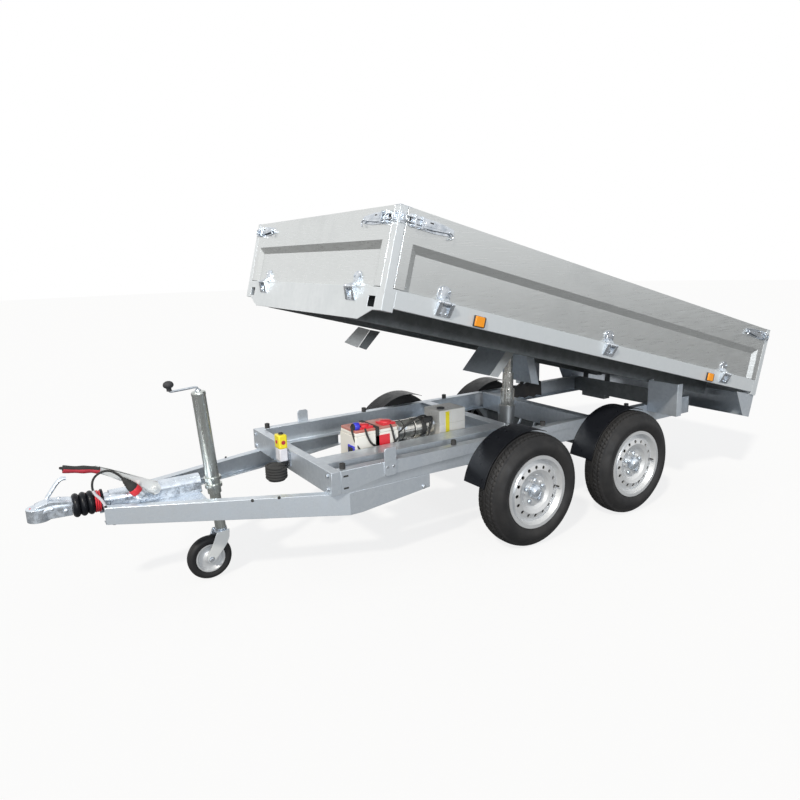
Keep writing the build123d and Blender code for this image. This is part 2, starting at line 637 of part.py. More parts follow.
# Road wheels
TYRE_OUTLINE = (
    # inwards from the tyre's widest point, below its crown
    (BEAD_INSET, TYRE_R - BEAD_R), (BEAD_INSET, 99.0), (14.0, 92.0), (5.0, 76.0), (0.0, 52.0), (3.0, 34.0),
    (9.0, 20.0), (18.0, 10.5), (32.0, 4.0), (56.0, 0.8), (TYRE_WIDTH / 2, 0.0),
)
tyre_side = [(inset - TYRE_WIDTH / 2, TYRE_R - drop) for inset, drop in TYRE_OUTLINE]
tyre_section = tyre_side + [(-across, radius) for across, radius in reversed(tyre_side[:-1])]
for axle, wheel_x in WHEEL_X.items():
    for name, side in SIDES:
        centre = (wheel_x, side * WHEEL_Y, TYRE_R)
        wheel_plane = Plane(origin=centre, x_dir=(0, side, 0), z_dir=(side, 0, 0))
        spin = Axis(centre, (0, 1, 0))
        with BuildPart() as tyre:
            with BuildSketch(wheel_plane):
                with BuildLine():
                    Polyline(*tyre_section, close=True)
                make_face()
            revolve(axis=spin)
        write(tyre.part, f"tyre_{axle}_{name}")

        flange_in = TYRE_WIDTH / 2 - BEAD_INSET + RIM_GAP
        flange_out = flange_in + RIM_WALL
        barrel_r = BEAD_R - RIM_GAP
        with BuildPart() as rim:
            with BuildSketch(wheel_plane):
                with BuildLine():
                    # Barrel from flange to flange, then the crowned disc and its hub face
                    Polyline(
                        (-flange_out, RIM_FLANGE_R),
                        (-flange_in, RIM_FLANGE_R),
                        (-flange_in, barrel_r),
                        (flange_in, barrel_r),
                        (flange_in, RIM_FLANGE_R),
                        (flange_out, RIM_FLANGE_R),
                        (flange_out, barrel_r - 2),
                        (flange_out - 12, barrel_r - 8),
                        (40, 152),
                        (51, 134),
                        (58, 110),
                        (52, 92),
                        (DISC_BACK + 7, 78),
                        (DISC_BACK + 6, HUB_R),
                        (DISC_BACK, HUB_R),
                        (DISC_BACK, 80),
                        (46, 94),
                        (52, 109),
                        (45, 133),
                        (34, 153),
                        (36, barrel_r - RIM_WALL),
                        (-flange_out, barrel_r - RIM_WALL),
                        close=True,
                    )
                make_face()
            revolve(axis=spin)
            disc = Plane(origin=centre, x_dir=(1, 0, 0), z_dir=(0, side, 0))
            with BuildSketch(disc.offset(70)):
                with PolarLocations(RIM_HOLE_CIRCLE_R, RIM_HOLES):
                    Circle(9)
            extrude(amount=-40, mode=Mode.SUBTRACT)
            with BuildSketch(disc.offset(DISC_BACK + 6)):
                with PolarLocations(BOLT_CIRCLE_R, 5):
                    Circle(9.5)
            extrude(amount=11)
            with BuildSketch(disc.offset(DISC_BACK)):
                Circle(HUB_R)
            extrude(amount=28)
        write(rim.part, f"rim_{axle}_{name}")

# Axles: a square torsion tube under the rails, trailing arms, stubs and brake drums
with BuildPart() as axles:
    for axle, wheel_x in WHEEL_X.items():
        tube_x = wheel_x + ARM_LENGTH
        with BuildSketch(Plane.XZ.offset(-(HALF_CHASSIS + 6))):
            with Locations((tube_x, AXLE_TUBE_Z)):
                RectangleRounded(AXLE_TUBE, AXLE_TUBE, 8)
        extrude(amount=CHASSIS_WIDTH + 12)
        for side in (1, -1):
            low = HALF_CHASSIS + 6 if side > 0 else -HALF_CHASSIS - 22
            with BuildSketch(Plane.XZ.offset(-(low + 16))):
                with BuildLine():
                    arm = Line((tube_x, AXLE_TUBE_Z), (wheel_x, TYRE_R))
                    offset(arm, amount=26)
                make_face()
            extrude(amount=16)
            drum_in = HALF_CHASSIS + 22
            drum_low = drum_in if side > 0 else -drum_in - DRUM_WIDTH
            with BuildSketch(Plane.XZ.offset(-(drum_low + DRUM_WIDTH))):
                with Locations((wheel_x, TYRE_R)):
                    Circle(DRUM_R)
            extrude(amount=DRUM_WIDTH)
            hub_out = WHEEL_Y + DISC_BACK - RIM_GAP
            hub_low = drum_in + DRUM_WIDTH if side > 0 else -hub_out
            with BuildSketch(Plane.XZ.offset(-(hub_low + hub_out - drum_in - DRUM_WIDTH))):
                with Locations((wheel_x, TYRE_R)):
                    Circle(66)
            extrude(amount=hub_out - drum_in - DRUM_WIDTH)
            # Mounting plate up to the rail
            plate_low = HALF_CHASSIS - RAIL_FLANGE if side > 0 else -HALF_CHASSIS
            with BuildSketch(Plane.XZ.offset(-(plate_low + RAIL_FLANGE))):
                with BuildLine():
                    Polyline(
                        (tube_x - 70, RAIL_BOTTOM_Z),
                        (tube_x + 110, RAIL_BOTTOM_Z),
                        (tube_x + 40, AXLE_TUBE_Z - AXLE_TUBE / 2),
                        (tube_x - 40, AXLE_TUBE_Z - AXLE_TUBE / 2),
                        close=True,
                    )
                make_face()
            extrude(amount=RAIL_FLANGE)
write(axles.part, "axles")

# Mudguards: thin curved shells just off the tyres' inner half, from low ahead of each wheel to its top
MUDGUARD_R = TYRE_R + 9
MUDGUARD_WALL = 3.0
MUDGUARD_Y = (HALF_CHASSIS, HALF_CHASSIS + 150)
MUDGUARD_ARC = (12.0, 100.0)              # start above the horizontal, and sweep, in degrees
with BuildPart() as mudguards:
    for wheel_x in WHEEL_X.values():
        for side in (1, -1):
            low = MUDGUARD_Y[0] if side > 0 else -MUDGUARD_Y[1]
            width = MUDGUARD_Y[1] - MUDGUARD_Y[0]
            with BuildSketch(Plane.XZ.offset(-(low + width))):
                with BuildLine():
                    inner = CenterArc((wheel_x, TYRE_R), MUDGUARD_R, *MUDGUARD_ARC)
                    outer = CenterArc((wheel_x, TYRE_R), MUDGUARD_R + MUDGUARD_WALL, *MUDGUARD_ARC)
                    Line(inner @ 0, outer @ 0)
                    Line(inner @ 1, outer @ 1)
                make_face()
            extrude(amount=width)
write(mudguards.part, "mudguards")

# Rubber buffers on the rails, under the bed's long beams
BUFFER_HEIGHT = 24.0
BUFFER_X = (AXLE_MID_X + 1290.0, AXLE_MID_X + 690.0, AXLE_MID_X + 105.0, AXLE_MID_X - 560.0)
with BuildPart() as buffers:
    with BuildSketch(Plane.XY.offset(RAIL_TOP_Z)):
        with Locations([(x, s * (HALF_CHASSIS - 30)) for x in BUFFER_X for s in (1, -1)]):
            Circle(13)
    extrude(amount=BUFFER_HEIGHT)
write(buffers.part, "buffers")

# Power pack on the tray, inside the inner sill
PACK_Y = SILL_Y[0] - 24
with BuildPart() as battery_box:
    box_x = (AXLE_MID_X + 854, AXLE_MID_X + 1096)
    with BuildSketch(Plane.XY.offset(TRAY_Z + 4)):
        with Locations(((box_x[0] + box_x[1]) / 2, PACK_Y - 80)):
            RectangleRounded(box_x[1] - box_x[0], 160, 6)
    extrude(amount=172)
    with BuildSketch(Plane.XY.offset(TRAY_Z + 176)):
        with Locations(((box_x[0] + box_x[1]) / 2, PACK_Y - 80)):
            RectangleRounded(box_x[1] - box_x[0] - 6, 154, 6)
    extrude(amount=20)
write(battery_box.part, "battery_box")

with BuildPart() as pump_motor:
    with BuildSketch(Plane.YZ.offset(AXLE_MID_X + 606)):
        with Locations((PACK_Y - 80, 552)):
            Circle(52)
    extrude(amount=236)
    with BuildSketch(Plane.YZ.offset(AXLE_MID_X + 690)):
        with Locations((PACK_Y - 80, (TRAY_Z + 4 + 552) / 2)):
            Rectangle(80, 552 - TRAY_Z - 4)
    extrude(amount=40)
write(pump_motor.part, "pump_motor")

with BuildPart() as oil_tank:
    with BuildSketch(Plane.XY.offset(TRAY_Z + 4)):
        with Locations((AXLE_MID_X + 518, PACK_Y - 72)):
            RectangleRounded(170, 144, 14)
    extrude(amount=212)
write(oil_tank.part, "oil_tank")

# Pendant control on the front beam
PENDANT_Y = -8.0
PENDANT_Z = (462.0, 600.0)
with BuildPart() as pendant:
    with BuildSketch(Plane.YZ.offset(RAIL_FRONT_X)):
        with Locations((PENDANT_Y, RAIL_TOP_Z - 45)):
            Rectangle(84, 74)
    extrude(amount=6)
    with BuildSketch(Plane.YZ.offset(RAIL_FRONT_X + 6)):
        with Locations((PENDANT_Y, sum(PENDANT_Z) / 2)):
            RectangleRounded(60, PENDANT_Z[1] - PENDANT_Z[0], 12)
    extrude(amount=44)
write(pendant.part, "pendant")

# Bed frame: folded side skirts, folded end skirts with the front apron, and the corner posts
BOARD_BASE = SKIRT_HEIGHT + BOARD_GAP
SIDE_BANDS = (
    # underside, height, width inwards from the bed's side
    (SKIRT_BOTTOM, SKIRT_HEIGHT - SKIRT_BOTTOM, SKIRT_WALL),
    (SKIRT_HEIGHT - SKIRT_WALL, SKIRT_WALL, SKIRT_LEDGE),
    (SKIRT_BOTTOM, SKIRT_WALL, SKIRT_LIP),
)
with BuildPart() as side_skirts:
    for bottom, height, width in SIDE_BANDS:
        with BuildSketch(BED.offset(bottom)):
            with Locations([(-BED_LENGTH / 2, side * (HALF - width / 2)) for _, side in SIDES]):
                Rectangle(BED_LENGTH - 2 * CORNER, width)
        extrude(amount=height)
write(side_skirts.part, "side_skirts")

END_BANDS = (
    # underside, height, depth inwards from the bed's end, distance of the band's ends from the bed's side
    (0, SKIRT_HEIGHT, SKIRT_WALL, CORNER),
    (SKIRT_HEIGHT - SKIRT_WALL, SKIRT_WALL, SKIRT_LEDGE, SKIRT_LEDGE),
    (0, SKIRT_WALL, SKIRT_LIP, CORNER),
)
SLOT_Y = HALF - CORNER - 34
with BuildPart() as end_skirts:
    for bottom, height, depth, inset in END_BANDS:
        with BuildSketch(BED.offset(bottom)):
            with Locations([(-depth / 2, 0), (depth / 2 - BED_LENGTH, 0)]):
                Rectangle(depth, BED_WIDTH - 2 * inset)
        extrude(amount=height)
    with BuildSketch(bed_section(-SKIRT_WALL)):
        with BuildLine():
            Polyline(
                (HALF - CORNER - 8, 2), (560, BEAM_Z[0]), (-560, BEAM_Z[0]), (CORNER + 8 - HALF, 2), close=True,
            )
        make_face()
    extrude(amount=SKIRT_WALL)
    with BuildSketch(bed_section(-SKIRT_WALL)):
        with Locations([(side * SLOT_Y, 32) for _, side in SIDES]):
            Rectangle(52, 42)
    extrude(amount=SKIRT_WALL, mode=Mode.SUBTRACT)
write(end_skirts.part, "end_skirts")

CORNERS = [(x, side * (HALF - CORNER / 2)) for x in (-CORNER / 2, CORNER / 2 - BED_LENGTH) for _, side in SIDES]
POSTS = [(x, side * (HALF - POST / 2)) for x in (-POST / 2, POST / 2 - BED_LENGTH) for _, side in SIDES]
with BuildPart() as corner_posts:
    with BuildSketch(BED):
        with Locations(CORNERS):
            Rectangle(CORNER, CORNER)
            Rectangle(CORNER - 2 * SKIRT_WALL, CORNER - 2 * SKIRT_WALL, mode=Mode.SUBTRACT)
    extrude(amount=SKIRT_HEIGHT)
    with BuildSketch(BED.offset(SKIRT_HEIGHT - SKIRT_WALL)):
        with Locations(CORNERS):
            Rectangle(CORNER, CORNER)
        with Locations(POSTS):
            Rectangle(POST - 2 * SKIRT_WALL, POST - 2 * SKIRT_WALL, mode=Mode.SUBTRACT)
    extrude(amount=SKIRT_WALL)
    with BuildSketch(BED.offset(SKIRT_HEIGHT)):
        with Locations(POSTS):
            Rectangle(POST, POST)
            Rectangle(POST - 2 * SKIRT_WALL, POST - 2 * SKIRT_WALL, mode=Mode.SUBTRACT)
    extrude(amount=BOARD_TOP - SKIRT_HEIGHT)
    with BuildSketch(BED.offset(BOARD_TOP - SKIRT_WALL)):
        with Locations(POSTS):
            Rectangle(POST - 1, POST - 1)
    extrude(amount=SKIRT_WALL)
write(corner_posts.part, "corner_posts")

with BuildPart() as bed_floor:
    clear = BOARD_THICKNESS + BOARD_GAP
    with BuildSketch(BED.offset(SKIRT_HEIGHT)):
        with Locations((-BED_LENGTH / 2, 0)):
            Rectangle(BED_LENGTH - 2 * clear, BED_WIDTH - 2 * clear)
        with Locations(POSTS):
            Rectangle(POST + 2, POST + 2, mode=Mode.SUBTRACT)
    extrude(amount=FLOOR_THICKNESS)
write(bed_floor.part, "bed_floor")

# Underframe: two long beams, cross beams over them, a wide channel over the pivot, and the hinge ears
EAR_Y = (HINGE_WEB_Y[0] + HINGE_WEB_Y[1]) / 2
PIVOT_BED_X = REAR_OVERHANG - BED_LENGTH
FLOOR_UNDER = SKIRT_HEIGHT - SKIRT_WALL
BEAM_REAR_GAP = 80.0
with BuildPart() as bed_beams:
    beam_width = BEAM_Y[1] - BEAM_Y[0]
    beam_height = BEAM_Z[1] - BEAM_Z[0]
    with BuildSketch(bed_section(-BED_LENGTH + BEAM_REAR_GAP)):
        with Locations([(side * sum(BEAM_Y) / 2, sum(BEAM_Z) / 2) for _, side in SIDES]):
            Rectangle(beam_width, beam_height)
            Rectangle(beam_width - 2 * RAIL_WALL, beam_height - 2 * RAIL_WALL, mode=Mode.SUBTRACT)
    extrude(amount=BED_LENGTH - BEAM_REAR_GAP - SKIRT_LIP)
write(bed_beams.part, "bed_beams")

with BuildPart() as bed_cross_beams:
    reach = HALF - SKIRT_WALL
    pitch = (BED_LENGTH - CROSS_BEAM_FIRST - CROSS_BEAM_LAST) / (CROSS_BEAM_COUNT - 1)
    spans = [(-CROSS_BEAM_FIRST - index * pitch, CROSS_BEAM_WIDTH, reach) for index in range(CROSS_BEAM_COUNT)]
    spans.append((PIVOT_BED_X + 25, PIVOT_BEAM_WIDTH, BEAM_Y[1]))
    tall = FLOOR_UNDER - BEAM_Z[1]
    for beam_x, beam_width, half_span in spans:
        with BuildSketch(BED_SIDE.offset(-half_span)):
            with Locations((beam_x, BEAM_Z[1] + tall / 2)):
                Rectangle(beam_width, tall)
                Rectangle(beam_width - 2 * RAIL_WALL, tall - 2 * RAIL_WALL, mode=Mode.SUBTRACT)
        extrude(amount=2 * half_span)
write(bed_cross_beams.part, "bed_cross_beams")

# Hinge ears: a boss on each pin, with two plates up to the wide channel
EAR_HALF = 40.0
EAR_WALL = 10.0
with BuildPart() as hinge_ears:
    for _, side in SIDES:
        low = side * EAR_Y - EAR_HALF
        with BuildSketch(BED_SIDE.offset(-(low + 2 * EAR_HALF))):
            with Locations((PIVOT_BED_X, PIVOT_RISE)):
                Circle(22)
        extrude(amount=2 * EAR_HALF)
        for plate in (low, low + 2 * EAR_HALF - EAR_WALL):
            with BuildSketch(BED_SIDE.offset(-(plate + EAR_WALL))):
                with BuildLine():
                    Polyline(
                        (PIVOT_BED_X - 20, PIVOT_RISE),
                        (PIVOT_BED_X + 20, PIVOT_RISE - 4),
                        (PIVOT_BED_X + 100, BEAM_Z[1]),
                        (PIVOT_BED_X - 50, BEAM_Z[1]),
                        close=True,
                    )
                make_face()
            extrude(amount=EAR_WALL)
    with BuildSketch(BED_SIDE.offset(-HALF)):
        with Locations((PIVOT_BED_X, PIVOT_RISE)):
            Circle(PIVOT_PIN_R + RUNNING)
    extrude(amount=BED_WIDTH, mode=Mode.SUBTRACT)
write(hinge_ears.part, "hinge_ears")

# Ram brackets: two channels that lean away from the ram, tied under the floor
YOKE_HALF = 120.0
YOKE_WALL = 5.0
YOKE_TIE_Z = 40.0
with BuildPart() as ram_brackets:
    for lean, reach in ((1, 215.0), (-1, 173.0)):
        top_out = RAM_EYE_BED_X + lean * (reach - 123)
        bottom_out = RAM_EYE_BED_X + lean * reach
        for wall_half, depth, mode in ((YOKE_HALF, 62.0, Mode.ADD), (YOKE_HALF - YOKE_WALL, 62.0, Mode.SUBTRACT)):
            shift = 0 if mode == Mode.ADD else YOKE_WALL
            with BuildSketch(BED_SIDE.offset(-wall_half)):
                with BuildLine():
                    Polyline(
                        (top_out - lean * shift, YOKE_TIE_Z),
                        (bottom_out - lean * shift, -180),
                        (bottom_out - lean * (depth + shift), -180),
                        (top_out - lean * (depth + shift), YOKE_TIE_Z),
                        close=True,
                    )
                make_face()
            extrude(amount=2 * wall_half, mode=mode)
    with BuildSketch(BED.offset(YOKE_TIE_Z)):
        with Locations((RAM_EYE_BED_X, 0)):
            Rectangle(260, 2 * YOKE_HALF)
    extrude(amount=6)
    for side in (1, -1):
        low = 46 if side > 0 else -54
        with BuildSketch(BED_SIDE.offset(-(low + 8))):
            with BuildLine():
                Polyline(
                    (RAM_EYE_BED_X - 50, YOKE_TIE_Z),
                    (RAM_EYE_BED_X - 26, RAM_EYE_BED_Z),
                    (RAM_EYE_BED_X + 26, RAM_EYE_BED_Z),
                    (RAM_EYE_BED_X + 50, YOKE_TIE_Z),
                    close=True,
                )
            make_face()
            with Locations((RAM_EYE_BED_X, RAM_EYE_BED_Z)):
                Circle(26)
        extrude(amount=8)
        boss = 54 if side > 0 else -66
        with BuildSketch(BED_SIDE.offset(-(boss + 12))):
            with Locations((RAM_EYE_BED_X, RAM_EYE_BED_Z)):
                Circle(16)
        extrude(amount=12)
    with BuildSketch(BED.offset(YOKE_TIE_Z + 6)):
        with Locations((RAM_EYE_BED_X, 0)):
            Rectangle(60, 2 * BEAM_Y[0])
    extrude(amount=BEAM_Z[1] - YOKE_TIE_Z - 6)
write(ram_brackets.part, "ram_brackets")

# Rear light bar, lamps and side markers
LIGHT_BAR_Z = (-134.0, -6.0)
LIGHT_BAR_DEPTH = 72.0
with BuildPart() as light_bar:
    half_bar = HALF - 8
    with BuildSketch(BED_SIDE.offset(-half_bar)):
        with BuildLine():
            Polyline(
                (-BED_LENGTH + LIGHT_BAR_DEPTH, LIGHT_BAR_Z[0]),
                (-BED_LENGTH + 3, LIGHT_BAR_Z[0]),
                (-BED_LENGTH + 3, 0),
                (-BED_LENGTH + LIGHT_BAR_DEPTH, 0),
                (-BED_LENGTH + LIGHT_BAR_DEPTH, -3),
                (-BED_LENGTH + 6, -3),
                (-BED_LENGTH + 6, LIGHT_BAR_Z[0] + 3),
                (-BED_LENGTH + LIGHT_BAR_DEPTH, LIGHT_BAR_Z[0] + 3),
                close=True,
            )
        make_face()
    extrude(amount=2 * half_bar)
    for side in (1, -1):
        low = half_bar - 3 if side > 0 else -half_bar
        with BuildSketch(BED_SIDE.offset(-(low + 3))):
            with BuildLine():
                Polyline(
                    (-BED_LENGTH + 192, 0),
                    (-BED_LENGTH + LIGHT_BAR_DEPTH, LIGHT_BAR_Z[0]),
                    (-BED_LENGTH + 3, LIGHT_BAR_Z[0]),
                    (-BED_LENGTH + 3, 0),
                    close=True,
                )
            make_face()
        extrude(amount=3)
write(light_bar.part, "light_bar")

with BuildPart() as rear_lamps:
    with BuildSketch(bed_section(-BED_LENGTH + 3)):
        with Locations([(side * (HALF - LAMP_INSET), -68) for _, side in SIDES]):
            RectangleRounded(200, 96, 14)
    extrude(amount=-32)
write(rear_lamps.part, "rear_lamps")

MARKER_X = (-SIDE_HINGE_FRONT - MARKER_AHEAD, SIDE_HINGE_REAR + MARKER_BEHIND - BED_LENGTH)
with BuildPart() as side_markers:
    for side in (1, -1):
        plane = Plane(origin=BED.from_local_coords((0, side * HALF, 0)), x_dir=BED.x_dir, z_dir=(0, -1, 0))
        with BuildSketch(plane):
            with Locations([(x, MARKER_Z) for x in MARKER_X]):
                RectangleRounded(58, 46, 6)
        extrude(amount=-side * 16)
write(side_markers.part, "side_markers")

# Drop boards. Each board's plane lies on the bed's outer face there, x along it, y up, z outwards
UP = BED.z_dir
side_length = BED_LENGTH - 2 * (POST + BOARD_GAP)
end_length = BED_WIDTH - 2 * (POST + BOARD_GAP)
right_hinges = (
    BED_LENGTH / 2 - SIDE_HINGE_FRONT,
    (SIDE_HINGE_REAR - SIDE_HINGE_FRONT) / 2,
    SIDE_HINGE_REAR - BED_LENGTH / 2,
)
left_hinges = tuple(-place for place in right_hinges)
end_hinges = (HALF - END_HINGE_INSET, END_HINGE_INSET - HALF)
BOARDS = (
    # name, middle of the outer face, outward direction, length, hinge places, hinge axis outwards
    ("left", (-BED_LENGTH / 2, HALF, 0), Vector(0, 1, 0), side_length, left_hinges, SIDE_HINGE_OUT),
    ("right", (-BED_LENGTH / 2, -HALF, 0), Vector(0, -1, 0), side_length, right_hinges, SIDE_HINGE_OUT),
    ("front", (0, 0, 0), BED.x_dir, end_length, end_hinges, SIDE_HINGE_OUT),
    ("rear", (-BED_LENGTH, 0, 0), BED.x_dir * -1, end_length, end_hinges, REAR_HINGE_OUT),
)


def face_section(face, along):
    """A plane across a board at a place along it: x outwards, y up."""
    return Plane(
        origin=face.origin + face.x_dir * along,
        x_dir=face.z_dir,
        z_dir=face.z_dir.cross(face.y_dir),
    )


for name, middle, outward, length, hinges, axis_out in BOARDS:
    face = Plane(origin=BED.from_local_coords(middle), x_dir=UP.cross(outward), z_dir=outward)
    with BuildPart() as board:
        with BuildSketch(face):
            with Locations((0, (BOARD_BASE + BOARD_TOP) / 2)):
                Rectangle(length, BOARD_TOP - BOARD_BASE)
        extrude(amount=-BOARD_THICKNESS)
        # Recess with a slanted band along its top and both ends
        recess_low = BOARD_BASE - RECESS_SLANT
        for depth, slant in ((0, 0), (RECESS_DEPTH, RECESS_SLANT)):
            with BuildSketch(face.offset(-depth)):
                with Locations((0, (recess_low + RECESS_TOP - slant) / 2)):
                    Rectangle(length - 2 * (RECESS_END + slant), RECESS_TOP - slant - recess_low)
        loft(mode=Mode.SUBTRACT)
    write(board.part, f"board_{name}")

    with BuildPart() as fittings:
        for along in hinges:
            section = face_section(face, along)
            with BuildSketch(section):
                with BuildLine():
                    Polyline(
                        (-RECESS_DEPTH, BOARD_BASE),
                        (-RECESS_DEPTH, 140),
                        (-RECESS_DEPTH + 5, 140),
                        (-RECESS_DEPTH + 6, BOARD_BASE + 14),
                        (axis_out, HINGE_AXIS_Z + KNUCKLE_R),
                        (axis_out, HINGE_AXIS_Z),
                        (axis_out - KNUCKLE_R, HINGE_AXIS_Z),
                        (axis_out - KNUCKLE_R, BOARD_BASE + 1),
                        (-RECESS_DEPTH + 4, BOARD_BASE + 1),
                        close=True,
                    )
                make_face()
                with Locations((axis_out, HINGE_AXIS_Z)):
                    Circle(KNUCKLE_R)
                    Circle(HINGE_PIN_R + RUNNING, mode=Mode.SUBTRACT)
            extrude(amount=HINGE_LEAF / 2 - 22, both=True)
        # Over-centre latch at each end
        for end in (1, -1):
            outer_end = end * (length / 2 - 8)
            with BuildSketch(face):
                with Locations((outer_end - end * 108, sum(LATCH_Z) / 2)):
                    RectangleRounded(216, LATCH_Z[1] - LATCH_Z[0] - 8, 10)
            extrude(amount=6)
            with BuildSketch(face.offset(6)):
                with Locations((outer_end - end * 88, sum(LATCH_Z) / 2)):
                    RectangleRounded(176, 26, 10)
            extrude(amount=12)
    write(fittings.part, f"fittings_{name}")

# Fixed hinge leaves and pins for all boards, and the latch catches on the posts
with BuildPart() as bed_hinges:
    for name, middle, outward, length, hinges, axis_out in BOARDS:
        face = Plane(origin=BED.from_local_coords(middle), x_dir=UP.cross(outward), z_dir=outward)
        for along in hinges:
            for end in (1, -1):
                section = face_section(face, along + end * (HINGE_LEAF / 2 - 10))
                with BuildSketch(section):
                    with BuildLine():
                        Polyline(
                            (0, SKIRT_BOTTOM + 14),
                            (5, SKIRT_BOTTOM + 14),
                            (axis_out + KNUCKLE_R - 3, HINGE_AXIS_Z - 6),
                            (axis_out, HINGE_AXIS_Z),
                            (0, HINGE_AXIS_Z),
                            close=True,
                        )
                    make_face()
                    with Locations((axis_out, HINGE_AXIS_Z)):
                        Circle(KNUCKLE_R)
                extrude(amount=9, both=True)
            with BuildSketch(face_section(face, along)):
                with Locations((2.5, HINGE_AXIS_Z - 31)):
                    Rectangle(5, 42)
            extrude(amount=HINGE_LEAF / 2 - 1, both=True)
            with BuildSketch(face_section(face, along)):
                with Locations((axis_out, HINGE_AXIS_Z)):
                    Circle(HINGE_PIN_R)
            extrude(amount=HINGE_LEAF / 2, both=True)
write(bed_hinges.part, "bed_hinges")

# Telescopic ram on its own axis, from the base pin to the eye under the bed
base = Vector(RAM_BASE_X, 0, RAM_BASE_Z)
eye = BED.from_local_coords((RAM_EYE_BED_X, 0, RAM_EYE_BED_Z))
ram_axis = (eye - base).normalized()
ram_length = (eye - base).length
RAM = Plane(origin=base, x_dir=ram_axis.cross(Vector(0, 1, 0)) * -1, z_dir=ram_axis)
barrel_top = ram_length - EYE_DROP - 3 * STAGE_SHOWN
with BuildPart() as ram_barrel:
    with BuildSketch(RAM.offset(22)):
        Circle(BARREL_R)
    extrude(amount=barrel_top - 22)
    with BuildSketch(RAM.offset(BORE_FLOOR)):
        Circle(STAGE_R[0] + RUNNING * 2)
    extrude(amount=barrel_top - BORE_FLOOR, mode=Mode.SUBTRACT)
    with BuildSketch(RAM):
        Rectangle(60, 2 * CHEEK_Y - 16)
    extrude(amount=24)
    with BuildSketch(Plane.XZ.offset(-(CHEEK_Y - 8))):
        with Locations((RAM_BASE_X, RAM_BASE_Z)):
            Circle(28)
    extrude(amount=2 * CHEEK_Y - 16)
    with BuildSketch(Plane.XZ.offset(-CHEEK_Y)):
        with Locations((RAM_BASE_X, RAM_BASE_Z)):
            Circle(15 + RUNNING)
    extrude(amount=2 * CHEEK_Y, mode=Mode.SUBTRACT)
write(ram_barrel.part, "ram_barrel")

for index, radius in enumerate(STAGE_R):
    top = barrel_top + (index + 1) * STAGE_SHOWN
    stage_length = STAGE_LENGTH - index * STAGE_STEP
    last = index == len(STAGE_R) - 1
    with BuildPart() as stage:
        with BuildSketch(RAM.offset(top - stage_length)):
            Circle(radius)
        extrude(amount=stage_length)
        if not last:
            with BuildSketch(RAM.offset(top - stage_length)):
                Circle(STAGE_R[index + 1] + RUNNING * 2)
            extrude(amount=stage_length, mode=Mode.SUBTRACT)
        else:
            with BuildSketch(RAM.offset(top)):
                Circle(18)
            extrude(amount=EYE_DROP)
            with BuildSketch(Plane(origin=eye, x_dir=BED.x_dir, z_dir=(0, -1, 0)).offset(-37)):
                Circle(24)
            extrude(amount=74)
    write(stage.part, f"ram_stage_{index + 1}")
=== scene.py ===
"""Dresses a tandem-axle tipping trailer: finishes, tyres, fasteners, lamps, cords and the studio round it.

Lengths are in millimetres, as in the part's source. Shell.mesh and nurbs turn them into the frame's metres.
"""

import json
import logging
import math
from dataclasses import dataclass, field
from enum import Enum
from typing import Iterable, Sequence

import bmesh
import bpy
import numpy as np
from mathutils import Matrix, Vector


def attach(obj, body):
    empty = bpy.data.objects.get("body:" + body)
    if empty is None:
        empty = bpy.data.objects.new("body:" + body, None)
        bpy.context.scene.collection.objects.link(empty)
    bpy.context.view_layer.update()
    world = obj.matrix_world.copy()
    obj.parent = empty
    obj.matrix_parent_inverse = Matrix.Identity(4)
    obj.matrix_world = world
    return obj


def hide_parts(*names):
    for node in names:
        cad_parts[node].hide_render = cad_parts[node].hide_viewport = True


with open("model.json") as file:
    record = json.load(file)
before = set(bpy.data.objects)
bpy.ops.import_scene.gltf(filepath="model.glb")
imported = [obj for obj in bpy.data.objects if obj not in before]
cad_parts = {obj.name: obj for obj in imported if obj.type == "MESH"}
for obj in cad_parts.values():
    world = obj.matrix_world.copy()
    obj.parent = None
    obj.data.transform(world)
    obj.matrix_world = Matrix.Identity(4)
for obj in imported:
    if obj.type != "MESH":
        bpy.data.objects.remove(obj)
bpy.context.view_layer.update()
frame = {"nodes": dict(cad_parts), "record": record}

LOG = logging.getLogger("trailer")
Colour = tuple[float, float, float]
Point = tuple[float, float, float]
Outline = Sequence[Sequence[float]]
Socket = bpy.types.NodeSocket

MM = 0.001
MERGE_MADE = 0.005 * MM
MERGE_CAD = 0.02 * MM
X, Y, Z = np.eye(3)

# Sizes shared by several sub-assemblies, in the trailer's own frame
TIP = math.radians(14.6)
PIVOT = np.array([-1630.0, 0.0, 575.0])
BED_FORWARD = np.array([math.cos(TIP), 0.0, math.sin(TIP)])
BED_UP = np.array([-math.sin(TIP), 0.0, math.cos(TIP)])
BED_LENGTH = 2710.0
BED_HALF = 730.5
BED_ORIGIN = PIVOT + BED_FORWARD * (BED_LENGTH - 238.0) + BED_UP * 20.4
HINGE_UP = 82.0
LATCH_UP = 354.0
POST_HALF = 18.0
WHEEL_X = {"front": -126.5, "rear": -853.5}
WHEEL_Y = 608.5
TYRE_R = 284.0
BOLTED_Y = 466.5
SIDES = {"left": 1.0, "right": -1.0}

BODY_OF = {node: body for body, nodes in frame["record"]["behaviour"]["bodies"].items() for node in nodes}


def on_bed(x: float, y: float, z: float) -> np.ndarray:
    """Turns a place on the bed (x back from its front edge is negative, z up from the skirt) into the frame's."""
    return BED_ORIGIN + BED_FORWARD * x + np.array([0.0, y, 0.0]) + BED_UP * z


